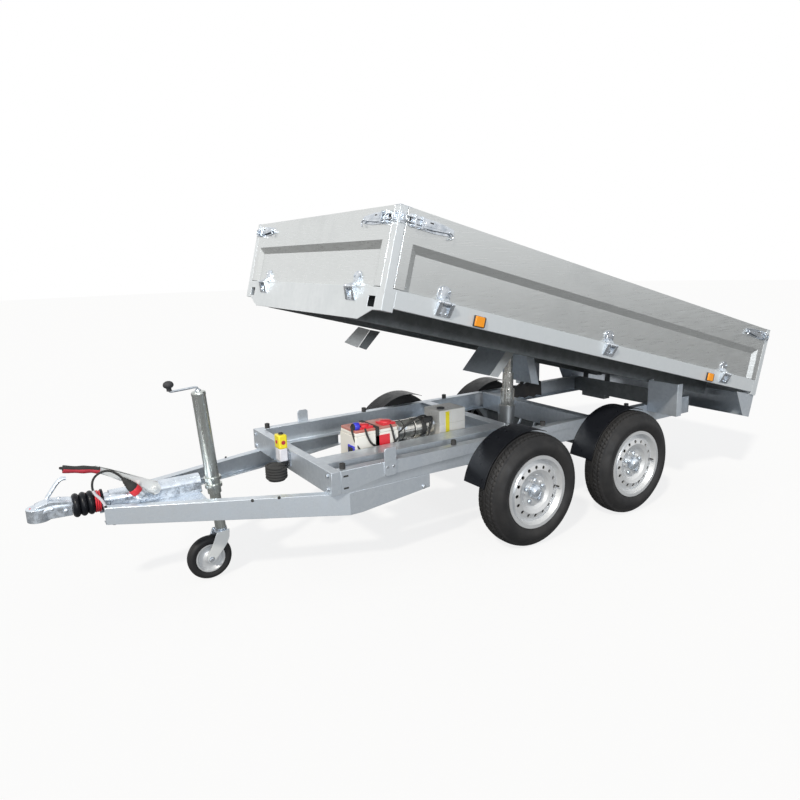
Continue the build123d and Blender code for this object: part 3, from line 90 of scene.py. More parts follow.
@dataclass(frozen=True)
class Site:
    """A place on the trailer with its own directions, on which small parts are laid out.

    Attributes:
        origin: Its place.
        x: Its first direction.
        y: Its second direction; the third is x cross y.
    """

    origin: np.ndarray
    x: np.ndarray
    y: np.ndarray

    @property
    def z(self) -> np.ndarray:
        """The third direction."""
        return np.cross(self.x, self.y)

    def at(self, x: float = 0.0, y: float = 0.0, z: float = 0.0) -> np.ndarray:
        """A point given along the three directions."""
        return self.origin + self.x * x + self.y * y + self.z * z

    def moved(self, x: float, y: float, z: float = 0.0) -> "Site":
        """The same directions at another point."""
        return Site(self.at(x, y, z), self.x, self.y)

    def path(self, points: Iterable[Point]) -> np.ndarray:
        """Many points at once."""
        return np.array([self.at(*point) for point in points])


def facing(origin: Sequence[float], outward: np.ndarray) -> Site:
    """A site whose third direction is outward."""
    u, v = square_to(np.asarray(outward, float))
    return Site(np.asarray(origin, float), u, v)


def rect(left: float, right: float, low: float, high: float) -> Outline:
    """The corners of a rectangle."""
    return [(left, low), (right, low), (right, high), (left, high)]


def wired(tree: bpy.types.NodeTree, kind: str, inputs: dict, **settings: object) -> bpy.types.Node:
    """Adds a shader node to a tree.

    Args:
        tree: The tree.
        kind: The node's type, without its ShaderNode.
        inputs: What goes into each socket, by name or number: another node's socket, or a plain value.
        **settings: The node's own properties.

    Returns:
        The node.
    """
    node = tree.nodes.new(f"ShaderNode{kind}")
    for setting, value in settings.items():
        setattr(node, setting, value)
    for socket, value in inputs.items():
        feed(tree, node.inputs[socket], value)
    return node


def feed(tree: bpy.types.NodeTree, target: Socket, value: object) -> None:
    """Links another node's socket to a target, or writes a plain value, a colour with or without its alpha."""
    if isinstance(value, Socket):
        tree.links.new(value, target)
    elif isinstance(value, tuple) and len(value) == 3 and target.type == "RGBA":
        target.default_value = (*value, 1.0)
    else:
        target.default_value = value


class Shader:
    """A node material in the making: one Principled shader and the pattern nodes that feed it."""

    def __init__(self, name: str, colour: Colour, roughness: float, metallic: float = 0.0) -> None:
        """Starts a material with plain values.

        Args:
            name: The material's name.
            colour: Its base colour, linear.
            roughness: The shader's roughness.
            metallic: 1 for bare metal, 0 for paint, rubber and plastic.
        """
        self.material = bpy.data.materials.new(name)
        self.material.use_nodes = True
        self.tree = self.material.node_tree
        self.surface = self.tree.nodes["Principled BSDF"]
        self.place = self.tree.nodes.new("ShaderNodeTexCoord").outputs["Object"]
        self.put("Base Color", colour)
        self.put("Roughness", roughness)
        self.put("Metallic", metallic)

    def put(self, socket: str, value: object) -> None:
        """Sets or links one of the shader's own sockets."""
        feed(self.tree, self.surface.inputs[socket], value)

    def noise(self, scale: float, detail: float = 4.0, stretch: Point = (1, 1, 1)) -> Socket:
        """A cloudy value about 0.5.

        Args:
            scale: Patches per metre.
            detail: How many finer octaves ride on them.
            stretch: Scale per axis, so that the pattern is drawn out along one of them.

        Returns:
            The value's socket.
        """
        place = wired(self.tree, "Mapping", {"Vector": self.place, "Scale": stretch}).outputs["Vector"]
        return wired(self.tree, "TexNoise", {"Vector": place, "Scale": scale, "Detail": detail}).outputs["Fac"]

    def cells(self, scale: float) -> Socket:
        """Crystal cells, scale of them per metre, each of its own value, as on zinc."""
        cells = wired(self.tree, "TexVoronoi", {"Vector": self.place, "Scale": scale})
        return wired(self.tree, "SeparateColor", {"Color": cells.outputs["Color"]}).outputs["Red"]

    def waves(self, scale: float, axis: str) -> Socket:
        """Bands across one axis, bands per metre about a third of scale."""
        inputs = {"Vector": self.place, "Scale": scale, "Distortion": 0.0}
        return wired(self.tree, "TexWave", inputs, bands_direction=axis).outputs["Fac"]

    def ramp(self, value: Socket, low: float, high: float, start: float = 0.0,
             end: float = 1.0) -> Socket:
        """Carries a value from the range low to high onto the range start to end, held at both ends."""
        inputs = {"Value": value, "From Min": low, "From Max": high, "To Min": start, "To Max": end}
        return wired(self.tree, "MapRange", inputs).outputs["Result"]

    def mix(self, amount: object, first: object, second: object) -> Socket:
        """A colour between two, by amount."""
        return wired(self.tree, "Mix", {0: amount, 6: first, 7: second}, data_type="RGBA").outputs[2]

    def product(self, first: object, second: object) -> Socket:
        """One value times another."""
        return wired(self.tree, "Math", {0: first, 1: second}, operation="MULTIPLY").outputs[0]

    def bump(self, height: object, depth: float, strength: float = 1.0) -> None:
        """Raises the surface by a height of 0 to 1 over depth metres."""
        inputs = {"Height": height, "Distance": depth, "Strength": strength}
        self.put("Normal", wired(self.tree, "Bump", inputs).outputs["Normal"])


@dataclass(frozen=True)
class Galvanised:
    """Hot-dip zinc: grey-blue, with faint crystals, cloudy patches and dull runs.

    Attributes:
        name: The material's name.
        light: The brighter crystals' colour.
        dark: The duller patches' colour.
        crystal: Crystals per metre.
        contrast: How far crystals differ, 0 to 1.
        gloss: The mean roughness.
        metal: The shader's metallic value.
    """

    name: str
    light: Colour = (0.60, 0.64, 0.67)
    dark: Colour = (0.38, 0.42, 0.45)
    crystal: float = 70.0
    contrast: float = 0.5
    gloss: float = 0.42
    metal: float = 0.75

    def build(self) -> bpy.types.Material:
        """Makes the material: crystal value times patch value sets colour and roughness."""
        shader = Shader(self.name, self.light, self.gloss, self.metal)
        crystals = shader.cells(self.crystal)
        patches = shader.noise(3.2, 6.0)
        runs = shader.noise(16.0, 3.0, (1.0, 1.0, 0.18))
        shade = shader.product(shader.ramp(crystals, 0.0, 1.0, 1.0 - self.contrast, 1.0),
                               shader.ramp(patches, 0.3, 0.7, 0.55, 1.0))
        shade = shader.product(shade, shader.ramp(runs, 0.35, 0.6, 0.82, 1.0))
        shader.put("Base Color", shader.mix(shade, self.dark, self.light))
        shader.put("Roughness", shader.ramp(shade, 0.2, 1.0, self.gloss + 0.14, self.gloss - 0.06))
        shader.bump(shader.noise(240.0, 2.0), 0.0004, 0.25)
        return shader.material


@dataclass(frozen=True)
class SheetMetal:
    """Rolled aluminium or coated sheet: satin, with soft clouds, fine rolling lines and smudges.

    Attributes:
        name: The material's name.
        colour: The sheet's colour.
        smudge: The colour of handled and weathered places.
        along: Scale per axis of the rolling lines: small along the lines, large across.
        gloss: The mean roughness.
        metal: The shader's metallic value.
    """

    name: str
    colour: Colour
    smudge: Colour
    along: Point = (0.6, 1.0, 30.0)
    gloss: float = 0.38
    metal: float = 0.6

    def build(self) -> bpy.types.Material:
        """Makes the material: clouds set the colour, rolling lines the roughness."""
        shader = Shader(self.name, self.colour, self.gloss, self.metal)
        clouds = shader.noise(1.6, 5.0)
        spots = shader.noise(9.0, 6.0)
        lines = shader.noise(14.0, 3.0, self.along)
        dirt = shader.product(shader.ramp(clouds, 0.45, 0.75), shader.ramp(spots, 0.45, 0.7))
        shader.put("Base Color", shader.mix(shader.ramp(dirt, 0.0, 1.0, 0.08, 0.8), self.colour, self.smudge))
        shader.put("Roughness", shader.ramp(lines, 0.3, 0.7, self.gloss - 0.06, self.gloss + 0.1))
        shader.bump(lines, 0.0002, 0.05)
        return shader.material


@dataclass(frozen=True)
class Plated:
    """Bright zinc or chrome plate: sharp reflections, slightly cloudy, darker in worn spots."""

    name: str
    colour: Colour = (0.80, 0.82, 0.84)
    stain: Colour = (0.52, 0.54, 0.56)
    gloss: float = 0.22

    def build(self) -> bpy.types.Material:
        """Makes the material: two noises give cloudy stains and an uneven gloss."""
        shader = Shader(self.name, self.colour, self.gloss, 0.9)
        clouds = shader.noise(28.0, 5.0)
        shader.put("Base Color", shader.mix(shader.ramp(clouds, 0.42, 0.72), self.colour, self.stain))
        shader.put("Roughness", shader.ramp(shader.noise(60.0, 3.0), 0.3, 0.7, self.gloss - 0.06,
                                            self.gloss + 0.16))
        shader.bump(shader.noise(320.0, 2.0), 0.0003, 0.2)
        return shader.material


@dataclass(frozen=True)
class Moulded:
    """Moulded plastic or rubber: one colour with a fine grain and a dusting.

    Attributes:
        name: The material's name.
        colour: The moulding's colour.
        dust: The colour of dust on it.
        dusting: How much dust lies on it, 0 to 1.
        gloss: The mean roughness.
        grain: Grains per metre in the bump.
        depth: The grain's depth in metres.
        shine: The shader's specular level.
    """

    name: str
    colour: Colour
    dust: Colour = (0.12, 0.11, 0.10)
    dusting: float = 0.35
    gloss: float = 0.5
    grain: float = 500.0
    depth: float = 0.0003
    shine: float = 0.5

    def build(self) -> bpy.types.Material:
        """Makes the material: cloudy dust over the colour, and a fine grain."""
        shader = Shader(self.name, self.colour, self.gloss)
        shader.put("Specular IOR Level", self.shine)
        clouds = shader.ramp(shader.noise(12.0, 6.0), 0.4, 0.7, 0.0, self.dusting)
        shader.put("Base Color", shader.mix(clouds, self.colour, self.dust))
        shader.put("Roughness", shader.ramp(shader.noise(30.0, 3.0), 0.3, 0.7, self.gloss - 0.08,
                                            self.gloss + 0.12))
        shader.bump(shader.noise(self.grain, 2.0), self.depth, 0.5)
        return shader.material


@dataclass(frozen=True)
class Lens:
    """A moulded lamp lens: clear colour over a ribbed back."""

    name: str
    colour: Colour
    deep: Colour

    def build(self) -> bpy.types.Material:
        """Makes the material: ribs darken the colour and shape the surface below a clear coat."""
        shader = Shader(self.name, self.colour, 0.16)
        ribs = shader.waves(150.0, "X")
        shader.put("Base Color", shader.mix(shader.ramp(ribs, 0.2, 0.8), self.deep, self.colour))
        shader.put("Emission Color", (*self.colour, 1.0))
        shader.put("Emission Strength", 0.05)
        shader.put("Coat Weight", 0.8)
        shader.put("Coat Roughness", 0.05)
        shader.bump(ribs, 0.0006, 0.5)
        return shader.material


class Finish(Enum):
    """The trailer's finishes, each built once and then shared."""

    GALVANISED = Galvanised("galvanised_steel", (0.74, 0.79, 0.84), (0.44, 0.49, 0.55), 60.0, 0.3, 0.34, 0.7)
    # Dark copy of the galvanised finish for parts under the bed and at the axles: partly dull, dirty zinc, partly
    # painted shade.
    SHADED_GALVANISED = Galvanised("galvanised_underside", (0.26, 0.28, 0.29), (0.11, 0.12, 0.125), 50.0, 0.35,
                                   0.5, 0.5)
    SKIRT = Galvanised("galvanised_skirt", (0.74, 0.77, 0.79), (0.58, 0.62, 0.64), 45.0, 0.2, 0.40, 0.5)
    BOARD = SheetMetal("board_sheet", (0.68, 0.70, 0.70), (0.56, 0.58, 0.585), (0.5, 1.0, 26.0), 0.30, 0.85)
    FLOOR = SheetMetal("floor_sheet", (0.50, 0.52, 0.53), (0.38, 0.39, 0.40), (0.5, 26.0, 1.0))
    ZINC = Plated("bright_zinc", (0.70, 0.74, 0.79), (0.42, 0.47, 0.53), 0.18)
    TUBE = SheetMetal("drawn_tube", (0.58, 0.61, 0.59), (0.52, 0.55, 0.53), (8.0, 8.0, 0.5), 0.27, 0.9)
    CASTING = Plated("coupling_zinc", (0.74, 0.80, 0.87), (0.58, 0.64, 0.72), 0.26)
    CHROME = Plated("pump_plate", (0.78, 0.77, 0.73), (0.50, 0.49, 0.45), 0.14)
    RAM = Plated("ram_steel", (0.30, 0.30, 0.30), (0.14, 0.14, 0.14), 0.3)
    TYRE = Moulded("tyre_rubber", (0.017, 0.017, 0.018), (0.038, 0.036, 0.035), 0.5, 0.55, 260.0, 0.0003, 0.25)
    MUDGUARD = Moulded("mudguard_plastic", (0.007, 0.008, 0.011), (0.018, 0.019, 0.023), 0.3, 0.34, 300.0,
                       0.0002, 0.22)
    RIM = SheetMetal("rim_lacquer", (0.62, 0.63, 0.64), (0.52, 0.53, 0.54), (1.0, 1.0, 1.0), 0.34, 0.45)
    # Near black: the drum's dark cast and painted shade seen through the rim's holes; the wheel chock shares it.
    DRUM = Moulded("brake_drum", (0.030, 0.030, 0.032), (0.07, 0.06, 0.05), 0.5, 0.6, 200.0, 0.0004, 0.3)
    STRAP = Galvanised("fork_strap", (0.80, 0.81, 0.80), (0.62, 0.64, 0.64), 60.0, 0.2, 0.42, 0.35)
    RUBBER = Moulded("black_rubber", (0.018, 0.018, 0.019), (0.06, 0.055, 0.05), 0.3, 0.4)
    PLASTIC = Moulded("black_plastic", (0.010, 0.011, 0.015), (0.035, 0.037, 0.045), 0.3, 0.3)
    RED = Moulded("red_plastic", (0.68, 0.03, 0.045), (0.45, 0.06, 0.06), 0.35, 0.35)
    LID = Moulded("battery_lid", (0.50, 0.16, 0.13), (0.42, 0.30, 0.26), 0.6, 0.4)
    GRIP = Moulded("red_grip", (0.36, 0.02, 0.05), (0.16, 0.03, 0.04), 0.4, 0.5)
    BLUE = Moulded("blue_cap", (0.045, 0.05, 0.60), (0.1, 0.1, 0.4), 0.3, 0.3)
    PALE = Moulded("battery_case", (0.58, 0.55, 0.53), (0.40, 0.37, 0.34), 0.5, 0.4)
    TANK = Moulded("tank_plastic", (0.72, 0.70, 0.66), (0.56, 0.53, 0.48), 0.4, 0.32)
    YELLOW = Moulded("yellow_plastic", (0.86, 0.72, 0.03), (0.6, 0.5, 0.05), 0.3, 0.33)
    WHITE = Moulded("white_plastic", (0.70, 0.69, 0.73), (0.52, 0.51, 0.54), 0.35, 0.33)
    AMBER = Lens("amber_lens", (0.88, 0.22, 0.008), (0.62, 0.11, 0.0))
    RED_LENS = Lens("red_lens", (0.55, 0.01, 0.01), (0.22, 0.0, 0.0))
    CLEAR_LENS = Lens("clear_lens", (0.62, 0.64, 0.66), (0.40, 0.42, 0.45))

    def material(self) -> bpy.types.Material:
        """This finish's material, made when it is first asked for."""
        return bpy.data.materials.get(self.value.name) or self.value.build()


class Shell:
    """Points and faces of one piece, gathered as arrays before they become a mesh."""

    def __init__(self) -> None:
        """Starts with no surface."""
        self.points: list[np.ndarray] = []
        self.faces: list[list[int]] = []
        self.count = 0

    def _take(self, points: np.ndarray) -> int:
        """Adds points and returns the number of the first."""
        first = self.count
        self.points.append(np.asarray(points, float).reshape(-1, 3))
        self.count += len(self.points[-1])
        return first

    def grid(self, points: np.ndarray, ring: bool = False, loop: bool = False) -> "Shell":
        """Adds a surface through a grid of points, one quad between each four neighbours.

        Args:
            points: Array of rows, columns and x, y, z.
            ring: Whether the last column joins the first.
            loop: Whether the last row joins the first.
        """
        rows, columns = points.shape[:2]
        first = self._take(points)
        row = np.arange(rows if loop else rows - 1)[:, None]
        column = np.arange(columns if ring else columns - 1)[None, :]
        next_row, next_column = (row + 1) % rows, (column + 1) % columns
        corners = (row * columns + column, row * columns + next_column, next_row * columns + next_column,
                   next_row * columns + column)
        quads = np.stack([np.broadcast_to(c, (row.shape[0], column.shape[1])) for c in corners], axis=-1)
        self.faces += (quads.reshape(-1, 4) + first).tolist()
        return self

    def revolve(self, profile: np.ndarray, centre: np.ndarray, axis: np.ndarray, steps: int = 48) -> "Shell":
        """Adds a profile of (along, radius) turned about an axis through centre.

        A point is centre + axis * along + (u cos a + v sin a) * radius, with u and v square to the axis.
        """
        axis = np.asarray(axis, float) / np.linalg.norm(axis)
        u, v = square_to(axis)
        angle = np.linspace(0.0, 2 * math.pi, steps, endpoint=False)
        spokes = np.cos(angle)[:, None] * u + np.sin(angle)[:, None] * v
        profile = np.asarray(profile, float)
        points = (np.asarray(centre)[None, None] + profile[:, None, :1] * axis + profile[:, None,
            1:] * spokes[None])
        return self.grid(points, ring=True)

    def prism(self, outline: Outline, origin: np.ndarray, x: np.ndarray, y: np.ndarray,
              depth: float) -> "Shell":
        """Adds a flat outline given depth.

        Args:
            outline: Corners as (along x, along y).
            origin: Where the outline's (0, 0) lies.
            x: Direction of the outline's first number.
            y: Direction of its second.
            depth: Thickness, along x cross y.
        """
        flat = np.asarray(outline, float)
        x, y = (np.asarray(a, float) / np.linalg.norm(a) for a in (x, y))
        turn = np.sum(flat[:, 0] * np.roll(flat[:, 1], -1) - np.roll(flat[:, 0], -1) * flat[:, 1])
        if turn * depth < 0:
            flat = flat[::-1]
        low = np.asarray(origin) + flat[:, :1] * x + flat[:, 1:] * y
        high = low + np.cross(x, y) * depth
        first = self._take(np.concatenate([low, high]))
        n = len(flat)
        self.faces.append([first + n + i for i in range(n)])
        self.faces.append([first + n - 1 - i for i in range(n)])
        self.faces += [[first + i, first + (i + 1) % n, first + n + (i + 1) % n,
                        first + n + i] for i in range(n)]
        return self

    def tube(self, path: np.ndarray, radius: float | np.ndarray, steps: int = 10, ends: bool = True) -> "Shell":
        """Adds a round tube along points, its ring turned as little as it can be from point to point."""
        path = np.asarray(path, float)
        step = np.gradient(path, axis=0)
        step /= np.linalg.norm(step, axis=1)[:, None]
        u = square_to(step[0])[0]
        angle = np.linspace(0.0, 2 * math.pi, steps, endpoint=False)
        sizes = np.broadcast_to(radius, len(path))
        rings = []
        for place, along, size in zip(path, step, sizes):
            u = u - along * np.dot(u, along)
            u /= np.linalg.norm(u)
            v = np.cross(along, u)
            rings.append(place + size * (np.cos(angle)[:, None] * u + np.sin(angle)[:, None] * v))
        first = self.count
        self.grid(np.array(rings), ring=True)
        if ends:
            last = first + (len(path) - 1) * steps
            self.faces.append([first + i for i in range(steps)][::-1])
            self.faces.append([last + i for i in range(steps)])
        return self

    def plate(self, site: Site, outline: Outline, low: float, high: float) -> "Shell":
        """Adds a flat outline in a site, from low to high along its third direction."""
        return self.prism(outline, site.at(0.0, 0.0, low), site.x, site.y, high - low)

    def slab(self, site: Site, x: Sequence[float], y: Sequence[float], z: Sequence[float]) -> "Shell":
        """Adds a block between a low and a high value along each of a site's directions."""
        return self.plate(site, rect(*x, *y), *z)

    def turned(self, site: Site, profile: Outline, steps: int = 32) -> "Shell":
        """Adds a profile of (along, radius) turned about a site's third direction."""
        return self.revolve(np.array(profile), site.origin, site.z, steps)

    def bolt(self, site: Site, size: float) -> "Shell":
        """Adds a hexagonal head of radius size on a washer, standing on the site."""
        washer = np.array([(0, 0), (0, 1.4), (0.2, 1.4), (0.2, 0)]) * size
        head = np.array([(0.2, 0), (0.2, 1), (0.7, 1), (0.85, 0.85), (0.85, 0)]) * size
        return self.turned(site, washer, 16).turned(site, head, 6)

    def band(self, path: np.ndarray, outward: np.ndarray, width: float, thick: float) -> "Shell":
        """Adds a flat strap along a path.

        At each point the strap's width lies along outward cross tangent, and its thickness square to both.

        Args:
            path: Points along the strap's middle.
            outward: Roughly where its flat face looks, one direction or one for each point.
            width: Width of the flat face.
            thick: Thickness.
        """
        path = np.asarray(path, float)
        along = np.gradient(path, axis=0)
        along /= np.linalg.norm(along, axis=1)[:, None]
        across = np.cross(np.broadcast_to(outward, path.shape), along)
        across /= np.linalg.norm(across, axis=1)[:, None]
        out = np.cross(along, across)
        corners = np.array([(1, 1), (-1, 1), (-1, -1), (1, -1)]) * 0.5
        rings = path[:, None] + corners[None, :, :1] * width * across[:, None] + corners[None, :,
            1:] * thick * out[:, None]
        first = self.count
        self.grid(rings, ring=True)
        last = first + (len(path) - 1) * 4
        self.faces += [[first + 3, first + 2, first + 1, first], [last, last + 1, last + 2, last + 3]]
        return self

    def mesh(self, name: str) -> bpy.types.Mesh:
        """The shell as a mesh, in metres."""
        mesh = bpy.data.meshes.new(name)
        mesh.from_pydata((np.concatenate(self.points) * MM).tolist(), [], self.faces)
        return mesh

    def build(self, name: str, node: str, finish: Finish, slot: str = "", smooth: float = 35.0, bevel: float = 0.0,
              whole: bool = False) -> bpy.types.Object:
        """Turns the shell into a piece that rides with a CAD node.

        Args:
            name: The piece's name.
            node: The CAD node whose body it rides on.
            finish: Its finish.
            slot: Not used.
            smooth: Edges turned by less than this many degrees are shaded smooth.
            bevel: Width of the rounding along sharp edges.
            whole: Whether it stands for the node.

        Returns:
            The finished object.
        """
        mesh = self.mesh(name)
        work = bmesh.new()
        work.from_mesh(mesh)
        bmesh.ops.remove_doubles(work, verts=work.verts, dist=MERGE_MADE)
        bmesh.ops.recalc_face_normals(work, faces=work.faces)
        for face in work.faces:
            face.smooth = True
        work.to_mesh(mesh)
        work.free()
        piece = bpy.data.objects.new(name, mesh)
        shaded(piece, finish, smooth, bevel, 40.0)
        return placed(piece, node, whole)


def shaded(piece: bpy.types.Object, finish: Finish, smooth: float, bevel: float, corner: float) -> None:
    """Gives a piece one finish, sharp edges above smooth degrees, and a bevel on those above corner degrees."""
    piece.data.set_sharp_from_angle(angle=math.radians(smooth))
    piece.data.materials.clear()
    piece.data.materials.append(finish.material())
    if bevel > 0:
        rounding = piece.modifiers.new("rounding", "BEVEL")
        rounding.width = bevel * MM
        rounding.segments = 2
        rounding.limit_method = "ANGLE"
        rounding.angle_limit = math.radians(corner)


def placed(piece: bpy.types.Object, node: str, whole: bool = True) -> bpy.types.Object:
    """Puts a piece in the scene, on a CAD node's body; whole lets it stand for it."""
    bpy.context.scene.collection.objects.link(piece)
    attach(piece, BODY_OF[node])
    if whole:
        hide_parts(node)
    return piece


def square_to(axis: np.ndarray) -> tuple[np.ndarray, np.ndarray]:
    """Two directions square to an axis and to each other, so that u cross v is the axis."""
    axis = np.asarray(axis, float) / np.linalg.norm(axis)
    away = np.array([0.0, 0.0, 1.0]) if abs(axis[2]) < 0.9 else np.array([1.0, 0.0, 0.0])
    u = np.cross(away, axis)
    u /= np.linalg.norm(u)
    return u, np.cross(axis, u)


def dressed(node: str, finish: Finish, bevel: float = 1.5, smooth: float = 35.0) -> bpy.types.Object:
    """Makes a merged copy of a CAD node with rounded edges, which stands for it.

    Args:
        node: The CAD node's name.
        finish: The copy's finish.
        bevel: Width of the rounding.
        smooth: Edges turned by less than this many degrees are shaded smooth; 0 for flat sheet.

    Returns:
        The copy.
    """
    mesh = frame["nodes"][node].data.copy()
    mesh.name = f"{node}_dressed"
    work = bmesh.new()
    work.from_mesh(mesh)
    bmesh.ops.remove_doubles(work, verts=work.verts, dist=MERGE_CAD)
    bmesh.ops.dissolve_limit(work, angle_limit=math.radians(1.0), verts=work.verts, edges=work.edges)
    for face in work.faces:
        face.smooth = smooth > 0
    work.to_mesh(mesh)
    work.free()
    piece = bpy.data.objects.new(f"{node}_dressed", mesh)
    shaded(piece, finish, smooth, bevel, 50.0)
    return placed(piece, node)


def painted(node: str, finish: Finish) -> None:
    """Gives a CAD node that keeps its own shape a finish."""
    obj = frame["nodes"][node]
    if not obj.material_slots:
        obj.data.materials.append(finish.material())
    for holder in obj.material_slots:
        holder.material = finish.material()


def nurbs(name: str, points: Sequence[Sequence[float]], order: int, scale: float) -> bpy.types.Curve:
    """A NURBS curve with the given control points and order, from its first point to its last."""
    data = bpy.data.curves.new(name, "CURVE")
    data.dimensions = "3D"
    route = data.splines.new("NURBS")
    route.points.add(len(points) - 1)
    for knot, point in zip(route.points, np.array(points) * scale):
        knot.co = (*point, 1.0)
    route.order_u = order
    route.use_endpoint_u = True
    return data


def smooth_line(points: Sequence[Sequence[float]], order: int = 4) -> np.ndarray:
    """Reads points off a NURBS line with given control points."""
    data = nurbs("line", points, order, 1.0)
    holder = bpy.data.objects.new("line", data)
    mesh = bpy.data.meshes.new_from_object(holder)
    flat = np.empty(len(mesh.vertices) * 3)
    mesh.vertices.foreach_get("co", flat)
    bpy.data.objects.remove(holder)
    bpy.data.meshes.remove(mesh)
    bpy.data.curves.remove(data)
    return flat.reshape(-1, 3)


@dataclass
class Studio:
    """The floor, the light and the camera, which aren't part of the trailer; the camera's sizes are in metres.

    Attributes:
        eye: The camera's place.
        look: Its direction.
        roll: Its lean, in radians.
        focal: Its focal length in pixels of a frame that is frame_width pixels wide.
        frame_width: The photograph's width in pixels.
        sensor: The camera's sensor width.
    """

    eye: Point = (2.0222, 2.8503, 1.4144)
    look: Point = (-0.5217, -0.8257, -0.2146)
    roll: float = -0.0261
    focal: float = 654.02
    frame_width: float = 800.0
    sensor: float = 36.0

    def camera(self) -> None:
        """Sets up the camera: right is look cross up, then both are turned by the roll."""
        look = np.array(self.look) / np.linalg.norm(self.look)
        right = np.cross(look, Z)
        right /= np.linalg.norm(right)
        up = np.cross(right, look)
        turned_right = math.cos(self.roll) * right + math.sin(self.roll) * up
        turned_up = math.cos(self.roll) * up - math.sin(self.roll) * right
        data = bpy.data.cameras.new("photo_camera")
        data.lens = self.focal * self.sensor / self.frame_width
        data.sensor_width = self.sensor
        data.clip_end = 100.0
        camera = bpy.data.objects.new("photo_camera", data)
        columns = np.stack([turned_right, turned_up, -look], axis=1)
        camera.matrix_world = Matrix.Translation(self.eye) @ Matrix(columns.tolist()).to_4x4()
        bpy.context.scene.collection.objects.link(camera)
        bpy.context.scene.camera = camera

    def floor(self) -> None:
        """Lays a large pale disc, white to the camera, darker to what it lights, that still takes a shadow."""
        disc = Shell().turned(Site(-Z, X, Y), [(0, 30000), (0, 0)], 64)
        floor = bpy.data.objects.new("floor", disc.mesh("floor"))
        bpy.context.scene.collection.objects.link(floor)
        material = bpy.data.materials.new("floor_white")
        material.use_nodes = True
        tree = material.node_tree
        surface = tree.nodes["Principled BSDF"]
        rays = wired(tree, "LightPath", {}).outputs
        tone = wired(tree, "Mix", {0: rays["Is Camera Ray"], 6: (0.15, 0.15, 0.15), 7: (0.80, 0.80, 0.80)},
                     data_type="RGBA")
        for socket, value in (("Base Color", tone.outputs[2]), ("Roughness", 1.0), ("Specular IOR Level", 0.0)):
            feed(tree, surface.inputs[socket], value)
        mirrored = wired(tree, "Math", {0: rays["Is Glossy Ray"], 1: 0.12}, operation="MULTIPLY").outputs[0]
        share = wired(tree, "Math", {0: rays["Is Camera Ray"], 1: 0.82, 2: mirrored}, operation="MULTIPLY_ADD")
        white = wired(tree, "Emission", {}).outputs[0]
        blend = wired(tree, "MixShader", {0: share.outputs[0], 1: surface.outputs[0], 2: white})
        feed(tree, tree.nodes["Material Output"].inputs["Surface"], blend.outputs[0])
        floor.data.materials.append(material)

    def light(self) -> None:
        """A white surround, a sun from ahead and above on the left, and a softer, lower one beside the camera."""
        world = bpy.data.worlds.new("surround")
        bpy.context.scene.world = world
        world.use_nodes = True
        tree = world.node_tree
        tree.nodes.clear()
        rays = wired(tree, "LightPath", {}).outputs
        clear = wired(tree, "Math", {0: rays["Is Glossy Ray"], 1: rays["Is Transmission Ray"]},
                      operation="MAXIMUM")
        seen = wired(tree, "Math", {0: rays["Is Camera Ray"], 1: clear.outputs[0]}, operation="MAXIMUM")
        lighting = wired(tree, "Background", {"Color": (0.93, 0.96, 1.0, 1.0), "Strength": 0.42})
        white = wired(tree, "Background", {"Color": (1.0, 1.0, 1.0, 1.0), "Strength": 1.0})
        blend = wired(tree, "MixShader", {0: seen.outputs[0], 1: lighting.outputs[0], 2: white.outputs[0]})
        wired(tree, "OutputWorld", {"Surface": blend.outputs[0]})
        for name, toward, power, spread, colour in (
            ("sun", (0.80, 0.46, 0.80), 2.6, 4.0, (1.0, 0.95, 0.86)),
            ("fill", (0.22, 0.95, 0.24), 1.5, 12.0, (0.90, 0.95, 1.0)),
        ):
            data = bpy.data.lights.new(name, "SUN")
            data.energy = power
            data.angle = math.radians(spread)
            data.color = colour
            lamp = bpy.data.objects.new(name, data)
            lamp.rotation_euler = Vector(toward).to_track_quat("Z", "Y").to_euler()
            bpy.context.scene.collection.objects.link(lamp)

    def build(self) -> None:
        """Makes camera, floor and light, and shows colours as they are written."""
        self.camera()
        self.floor()
        self.light()
        bpy.context.scene.view_settings.view_transform = "Standard"


